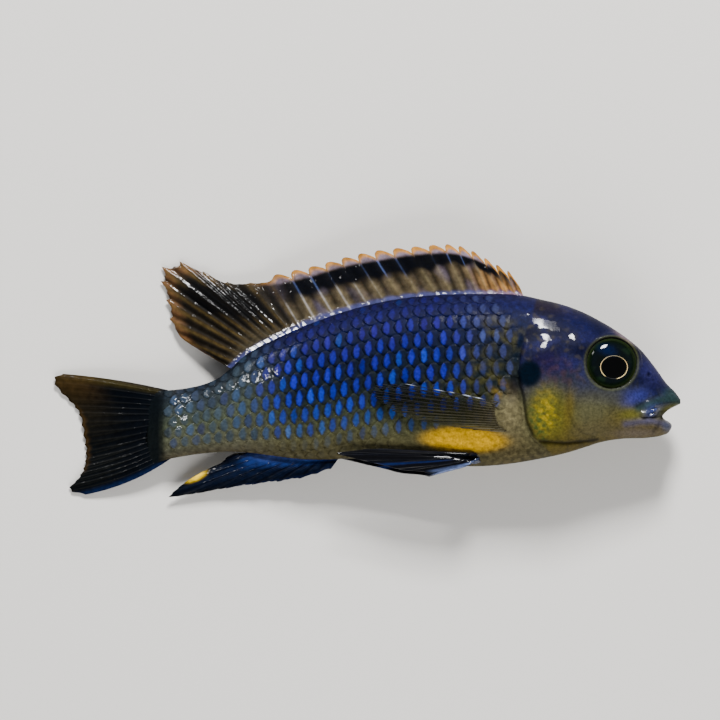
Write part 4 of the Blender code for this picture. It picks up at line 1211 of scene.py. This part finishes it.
def pelvic_fin(side, word, material):
    """A folded belly fin that trails along the belly's edge."""
    drop = LEFT_PELVIC_DROP if side < 0 else 0.0

    def base(k):
        x, y = by_ray(PELVIC_BASE, k)
        return x + 0.1 + 0.1 * k, y + 0.55 - 0.2 * drop

    def tip(k):
        x, y = by_ray(PELVIC_TIPS, k)
        return x, y - drop

    def height(x, y, k, t):
        # the folded rays bulge outwards, and their upper side faces up the flank
        flat_y = PELVIC_TOP + 0.25 * (y - PELVIC_TOP)
        bulge = 0.62 * np.sin(math.pi * (1 - k / (PELVIC_RAYS - 1))) + 0.03 * np.sin(5.7 * k)
        out = np.hypot(flank_out(x, flat_y, side), PELVIC_STANDOFF) * 0.9 + bulge * ramp(t, 0.15, 0.5)
        at_root = np.hypot(flank_out(x, y, side), PELVIC_STANDOFF) - 1.5
        return curve(MEDIAN, x) + side * (at_root + (out + 0.5 - at_root) * ramp(t, 0.0, 0.3))

    def edge(k, share):
        return -0.18 * np.sin(math.pi * share)

    def thick(k, t):
        first = 0.3 * bell(k, 0.3)
        return 0.16 + (0.3 + first) * (1 - 0.6 * t) * ridges(k, t, ramp(k, 0.6, 1.0))

    obj, k, t, _, _, _ = fin_sheet(
        f"pelvic_membrane_{word}", PELVIC_RAYS, 16, 44, base, tip, height, edge, thick, inset=0.5)
    colour = np.tile(linear("#030306"), (len(k), 1))
    colour = over(colour, "#080C18", 0.6 * ridges(k, t, 0.4))
    # the leading ray is pale blue-white, partly its own colour and partly a painted highlight, stronger on
    # the left fin
    pale = 0.75 if side < 0 else 0.3
    colour = layers(colour, [
        ("#7C90C8", pale * bell(k - 0.1, 0.16) * ramp(t, 0.1, 0.3) * falling(t, 0.8, 1.0)),
        ("#1A3070", 0.4 * bell(k - 1.6, 0.12) * ramp(t, 0.3, 0.5)),
    ])
    end_fin(obj, colour, material, f"pelvic_fin_{word}", 0.9)


# Eyes


def eye_surface(name, side):
    """The eye's dome, closed by its own mirror image behind."""
    bpy.ops.object.select_all(action="DESELECT")
    bpy.ops.mesh.primitive_uv_sphere_add(segments=128, ring_count=48, radius=1.0)
    obj, co = named(name)
    spread = np.hypot(co[:, 0], co[:, 1])
    wide = np.where(spread > 1e-5, np.maximum(spread, 1e-5) ** (2 / EYE_POWER - 1), 0.0)
    x = EYE[0] + co[:, 0] * wide * EYE_RADIUS
    y = EYE[1] + co[:, 1] * wide * EYE_RADIUS
    out = EYE_DEPTH + EYE_BULGE * np.sign(co[:, 2]) * np.abs(co[:, 2]) ** (2 / EYE_POWER)
    out = out - EYE_LEAN[0] * (x - EYE[0]) - EYE_LEAN[1] * (y - EYE[1])
    place(obj, x, y, curve(MEDIAN, EYE[0]) + side * out)
    tidy(obj)
    return obj, x, y


def ring(name, side, radii, thickness, centre, sink):
    """A thin ring laid on the eye's dome, and each vertex's place."""
    bpy.ops.object.select_all(action="DESELECT")
    bpy.ops.mesh.primitive_torus_add(
        major_segments=96, minor_segments=12, major_radius=1.0, minor_radius=thickness / radii[0])
    obj, co = named(name)
    x, y = centre[0] + co[:, 0] * radii[0], centre[1] + co[:, 1] * radii[1]
    out = dome(x, y, EYE_RADIUS, EYE_BULGE) - sink + co[:, 2] * radii[0]
    place(obj, x, y, curve(MEDIAN, EYE[0]) + side * out)
    tidy(obj)
    return obj, x, y


def make_eye(side, word, materials):
    """A dark, glassy eyeball with a thin gold ring round its pupil."""
    ball, x, y = eye_surface(f"eyeball_{word}", side)
    r = np.hypot(x - EYE[0], y - EYE[1])
    colour = stops(r / EYE_RADIUS, [
        (0.0, "#020304"), (0.5, "#020605"), (0.75, "#02070A"), (0.88, "#081006"), (0.95, "#1A2410"),
        (1.0, "#2A3014"),
    ])
    pupil = np.hypot((x - PUPIL[0]) / RING_RADIUS[0], (y - PUPIL[1]) / RING_RADIUS[1])
    colour = over(colour, "#0C1A0E", 0.7 * ramp(ragged(x, y, 0.8, 2.0), 0.2, 0.9) * ramp(r, 1.6, 2.0))
    # painted reflection: a navy patch in the upper iris, round where the lamp's glint falls
    colour = over(colour, "#030E2C", 0.8 * blob(x, y, (EYE[0] - 0.5, EYE[1] + 1.45), (1.1, 0.6), -0.3, 3.0))
    colour = over(colour, "#000000", 1 - ramp(pupil, 0.85, 0.98))
    # its rim lies in the skin's own film, and doesn't shine
    write_colour(ball, "paint", colour, 1 - 0.9 * ramp(r, 2.05, 2.35))
    finish_piece(ball, materials["eyeball"])
    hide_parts(f"eye_{word}")
    gold, x, y = ring(f"gold_ring_{word}", side, RING_RADIUS, 0.042, PUPIL, 0.022)
    # the ring is broken at its foot, and dull at its top
    turn = np.arctan2(y - PUPIL[1], x - PUPIL[0])
    colour = stops(y - PUPIL[1], [(-1.3, "#F0D898"), (0.3, "#C8A870"), (1.3, "#6A644E")])
    write_colour(gold, "paint", over(colour, "#030303", 1 - ramp(np.abs(turn + 1.83), 0.42, 0.65)))
    finish_piece(gold, materials["gold"])
    rim, _, y = ring(f"eye_rim_{word}", side, (EYE_RADIUS + 0.04, EYE_RADIUS + 0.04), 0.13, EYE, 0.0)
    colour = stops((y - EYE[1]) / 3, [(-1.0, "#3A4214"), (0.0, "#1A2210"), (1.0, "#22222E")])
    write_colour(rim, "paint", colour, 0.0)
    finish_piece(rim, materials["rim"])


# Materials


def feed(node, inputs):
    """Links or sets a node's own inputs."""
    for key, value in inputs.items():
        if isinstance(value, bpy.types.NodeSocket):
            node.id_data.links.new(value, node.inputs[key])
        else:
            node.inputs[key].default_value = value


def add(tree, kind, inputs=(), **settings):
    """One node with its settings and links."""
    node = tree.nodes.new(kind)
    for key, value in settings.items():
        setattr(node, key, value)
    feed(node, dict(inputs))
    return node


def new_material(name):
    """A material, its node tree and its main shader."""
    material = bpy.data.materials.new(name)
    material.use_nodes = True
    return material, material.node_tree, material.node_tree.nodes["Principled BSDF"]


def attribute(tree, name):
    """The colour and the alpha that a mesh carries under a name."""
    outputs = add(tree, "ShaderNodeAttribute", attribute_name=name).outputs
    return outputs["Color"], outputs["Alpha"]


def in_place(tree, size):
    """Inputs for a texture in Object coordinates, whose features are about size mm apart."""
    return {"Vector": add(tree, "ShaderNodeTexCoord").outputs["Object"], "Scale": 1000.0 / size}


def noise(tree, size, detail, output="Fac"):
    return add(tree, "ShaderNodeTexNoise", {**in_place(tree, size), "Detail": detail}).outputs[output]


def maths(tree, operation, first, second=0.0):
    return add(tree, "ShaderNodeMath", {0: first, 1: second}, operation=operation).outputs["Value"]


def vectors(tree, operation, first, second):
    """Maths on a vector or a colour; SCALE takes a number as its second."""
    key = "Scale" if operation == "SCALE" else 1
    return add(tree, "ShaderNodeVectorMath", {0: first, key: second}, operation=operation).outputs["Vector"]


def fitted(tree, value, low, high, reach=(0.0, 1.0), kind="LINEAR"):
    """Turns a value within reach into one from low to high, and holds it there outside."""
    return add(tree, "ShaderNodeMapRange", {
        "Value": value, "From Min": reach[0], "From Max": reach[1], "To Min": low, "To Max": high},
        interpolation_type=kind).outputs["Result"]


def mixed(tree, kind, share, first, second):
    inputs = {"Factor": share, "A": first, "B": second}
    return add(tree, "ShaderNodeMix", inputs, data_type=kind).outputs["Result"]


def bumped(tree, strength, distance, height, normal=None):
    """A normal that leans with small heights of up to distance millimetres."""
    inputs = {"Strength": strength, "Distance": distance * MM, "Height": height}
    return add(tree, "ShaderNodeBump", {**inputs, "Normal": normal} if normal else inputs).outputs["Normal"]


def specked(tree, colour, size, detail, low, high, reach=(0.3, 0.7)):
    """A colour whose brightness varies in specks, from low to high."""
    return vectors(tree, "SCALE", colour, fitted(tree, noise(tree, size, detail), low, high, reach))


def wet(shader, inputs):
    """A film of water over flesh: under water's index the flesh itself hardly shines."""
    feed(shader, {
        "Roughness": 0.5, "IOR": 1.4, "Specular IOR Level": 0.04, "Coat Roughness": 0.06, "Coat IOR": 1.33,
        **inputs,
    })


def wet_skin():
    """Fish skin under a film of water and mucus: soft pigment below, a sharp gloss on top."""
    material, tree, shader = new_material("wet_skin")
    pigment, water = attribute(tree, "paint")
    # tiny embedded scales, with pores between them
    cells = add(tree, "ShaderNodeTexVoronoi", in_place(tree, 0.8), feature="SMOOTH_F1").outputs["Distance"]
    wet(shader, {
        "Base Color": specked(tree, pigment, 0.25, 4.0, 0.7, 1.3),
        "Normal": bumped(tree, 0.35, 0.02, noise(tree, 0.25, 3.0), bumped(tree, 0.3, 0.06, cells)),
        "Coat Normal": bumped(tree, 1.0, 0.08, noise(tree, 1.1, 0.0)),
        "Coat Weight": fitted(tree, water, 0.03, 0.9),
    })
    return material


def wet_scale():
    """Bony fish scale under clear skin: a blue mirror-cell spot on a dark ground, wet gloss."""
    material, tree, shader = new_material("wet_scale")
    local = add(tree, "ShaderNodeUVMap", uv_map="Scale").outputs["UV"]
    pigment, inward = attribute(tree, "paint")
    spot, strong = attribute(tree, "spot")
    finishes, uneven = attribute(tree, "finish")
    finish = add(tree, "ShaderNodeSeparateColor", {"Color": finishes}).outputs
    # the spot is a tall lens, pointed at both ends and ragged at its edge
    wobble = vectors(tree, "SUBTRACT", noise(tree, 0.45, 3.0, "Color"), (0.5, 0.5, 0.5))
    moved = vectors(tree, "ADD", local, vectors(tree, "SCALE", wobble, 0.16))
    middle = vectors(tree, "SUBTRACT", moved, (0.5, 0.455, 0.0))
    flat = vectors(tree, "MULTIPLY", middle, (3.2, 6.7, 0.0))
    sized = vectors(tree, "SCALE", flat, fitted(tree, finish["Blue"], 1.0, 0.75))
    sides = add(tree, "ShaderNodeSeparateXYZ", {"Vector": sized}).outputs
    curved = maths(tree, "POWER", maths(tree, "ABSOLUTE", sides["Y"]), 1.5)
    reach = maths(tree, "ADD", maths(tree, "MULTIPLY", sides["X"], sides["X"]), curved)
    oval = fitted(tree, reach, 1.0, 0.0, (0.25, 1.15), "SMOOTHSTEP")
    # between spot and free edge the scale is a darker blue, and its edge is a thin dark line
    inside = fitted(tree, inward, 0.0, 1.0, (0.05, 0.2), "SMOOTHSTEP")
    ground = vectors(tree, "SCALE", pigment, mixed(tree, "FLOAT", inside, finish["Green"], 1.0))
    halo = fitted(tree, reach, 1.0, 0.15, (0.8, 2.6))
    near = maths(tree, "MULTIPLY", maths(tree, "MULTIPLY", strong, 0.55), halo)
    near = maths(tree, "MULTIPLY", near, inside)
    body = mixed(tree, "RGBA", near, ground, vectors(tree, "SCALE", spot, 0.15))
    colour = mixed(tree, "RGBA", maths(tree, "MULTIPLY", oval, strong), body, spot)
    # growth rings, drawn coarser than the real 0.03 mm ones so that they show
    rings = add(tree, "ShaderNodeTexWave", {
        "Vector": local, "Scale": 9.0, "Distortion": 1.0}, wave_type="RINGS", rings_direction="SPHERICAL")
    film = maths(tree, "MULTIPLY", noise(tree, 1.2, 1.0), uneven)
    wet(shader, {
        "Base Color": specked(tree, colour, 0.3, 4.0, 0.7, 1.3),
        "Normal": bumped(tree, 0.1, 0.02, rings.outputs["Fac"]),
        "Coat Normal": bumped(tree, 1.0, 0.8, film),
        "Coat Weight": fitted(tree, finish["Red"], 0.02, 0.8),
        "Coat Roughness": 0.08,
    })
    return material


def wet_fin(name, see_through):
    """Fin membrane: thin wet skin over rays, with light coming through it where it is pale."""
    material, tree, shader = new_material(name)
    pigment, water = attribute(tree, "paint")
    # the film of water lies unevenly, so that it glints in small places, and is calm where it's deep
    wave = maths(tree, "SUBTRACT", noise(tree, 0.9, 1.0), 0.5)
    film = maths(tree, "MULTIPLY", wave, maths(tree, "SUBTRACT", 1.05, water))
    wet(shader, {
        "Base Color": specked(tree, pigment, 0.6, 4.0, 0.65, 1.35),
        "Normal": bumped(tree, 0.4, 0.04, noise(tree, 0.3, 3.0)),
        "Coat Normal": bumped(tree, 1.0, 0.3, film),
        "Coat Weight": water,
    })
    if see_through:
        feed(shader, {
            "Subsurface Weight": 0.15, "Subsurface Radius": (0.001, 0.0006, 0.0003), "Subsurface Scale": 0.4})
    return material


def painted(name, inputs):
    """A plain material in the mesh's own paint."""
    material, tree, shader = new_material(name)
    feed(shader, {"Base Color": attribute(tree, "paint")[0], **inputs})
    return material


def fin_ray():
    """Bony ray under thin dark skin: hardly any gloss, so that the rays stay dark lines."""
    return painted("fin_ray", {"Roughness": 0.6, "Specular IOR Level": 0.15})


def clear_film():
    """The pectoral fin's web: clear skin that only tints what lies under it."""
    return painted("clear_film", {"Roughness": 0.5, "Specular IOR Level": 0.0, "Alpha": 0.14})


def eye_materials(skin):
    """Dark iris under a clear wet cornea, and guanine crystals that shine like dull gold."""
    eyeball, tree, shader = new_material("eyeball")
    pigment, water = attribute(tree, "paint")
    wet(shader, {
        "Base Color": specked(tree, pigment, 0.3, 3.0, 0.4, 1.6, (0.0, 1.0)),
        "Specular IOR Level": 0.0, "Coat Weight": water, "Coat Roughness": 0.01,
    })
    return {"eyeball": eyeball, "gold": painted("gold_ring", {"Roughness": 0.4}), "rim": skin}


def floor_material():
    """A plain matt board."""
    material, _, shader = new_material("pale_board")
    feed(shader, {"Base Color": (*linear("#D8D5D0"), 1.0), "Roughness": 0.7})
    return material


# Studio


def studio():
    """A plain pale floor, soft lamps, and a camera that looks straight down as in the photo."""
    bpy.ops.object.select_all(action="DESELECT")
    bpy.ops.mesh.primitive_plane_add(size=2.0)
    floor = bpy.context.object
    floor.name = "floor"
    floor.data.materials.append(floor_material())
    world = bpy.data.worlds.new("studio")
    bpy.context.scene.world = world
    world.use_nodes = True
    sky = world.node_tree.nodes["Background"]
    feed(sky, {"Color": (*linear("#F2F4F8"), 1.0), "Strength": SKY})
    for name, place_at, size, power in LAMPS:
        light = bpy.data.lights.new(name, "AREA")
        light.size = size * MM
        light.energy = power
        lamp = bpy.data.objects.new(name, light)
        bpy.context.scene.collection.objects.link(lamp)
        lamp.location = [c * MM for c in place_at]
        lamp.rotation_euler = lamp.location.to_track_quat("Z", "Y").to_euler()
        # the fill lightens the shaded side and isn't mirrored in the wet skin; the gleam only is
        lamp.visible_glossy = name != "fill"
        lamp.visible_diffuse = name != "gleam"
    camera = bpy.data.cameras.new("camera")
    camera.sensor_width = SENSOR
    camera.lens = SENSOR * CAMERA_HEIGHT / FRAME_WIDTH
    camera.clip_start = 0.01
    stand = bpy.data.objects.new("camera", camera)
    bpy.context.scene.collection.objects.link(stand)
    stand.location = (FRAME_MIDDLE[0] * MM, FRAME_MIDDLE[1] * MM, CAMERA_HEIGHT * MM)
    bpy.context.scene.camera = stand


def build():
    """Makes every piece."""
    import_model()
    skin, scale = wet_skin(), wet_scale()
    spots = []
    for side, word in SIDES:
        spots += make_scales(side, word, scale)
    make_skin(skin, spots)
    pale_fin, dark_fin = wet_fin("pale_fin_skin", True), wet_fin("dark_fin_skin", False)
    dorsal_fin(pale_fin)
    caudal_fin(dark_fin)
    anal_fin(dark_fin)
    ray, film, eye = fin_ray(), clear_film(), eye_materials(skin)
    for side, word in SIDES:
        pectoral_fin(side, word, ray, film)
        pelvic_fin(side, word, dark_fin)
        make_eye(side, word, eye)
    studio()


build()
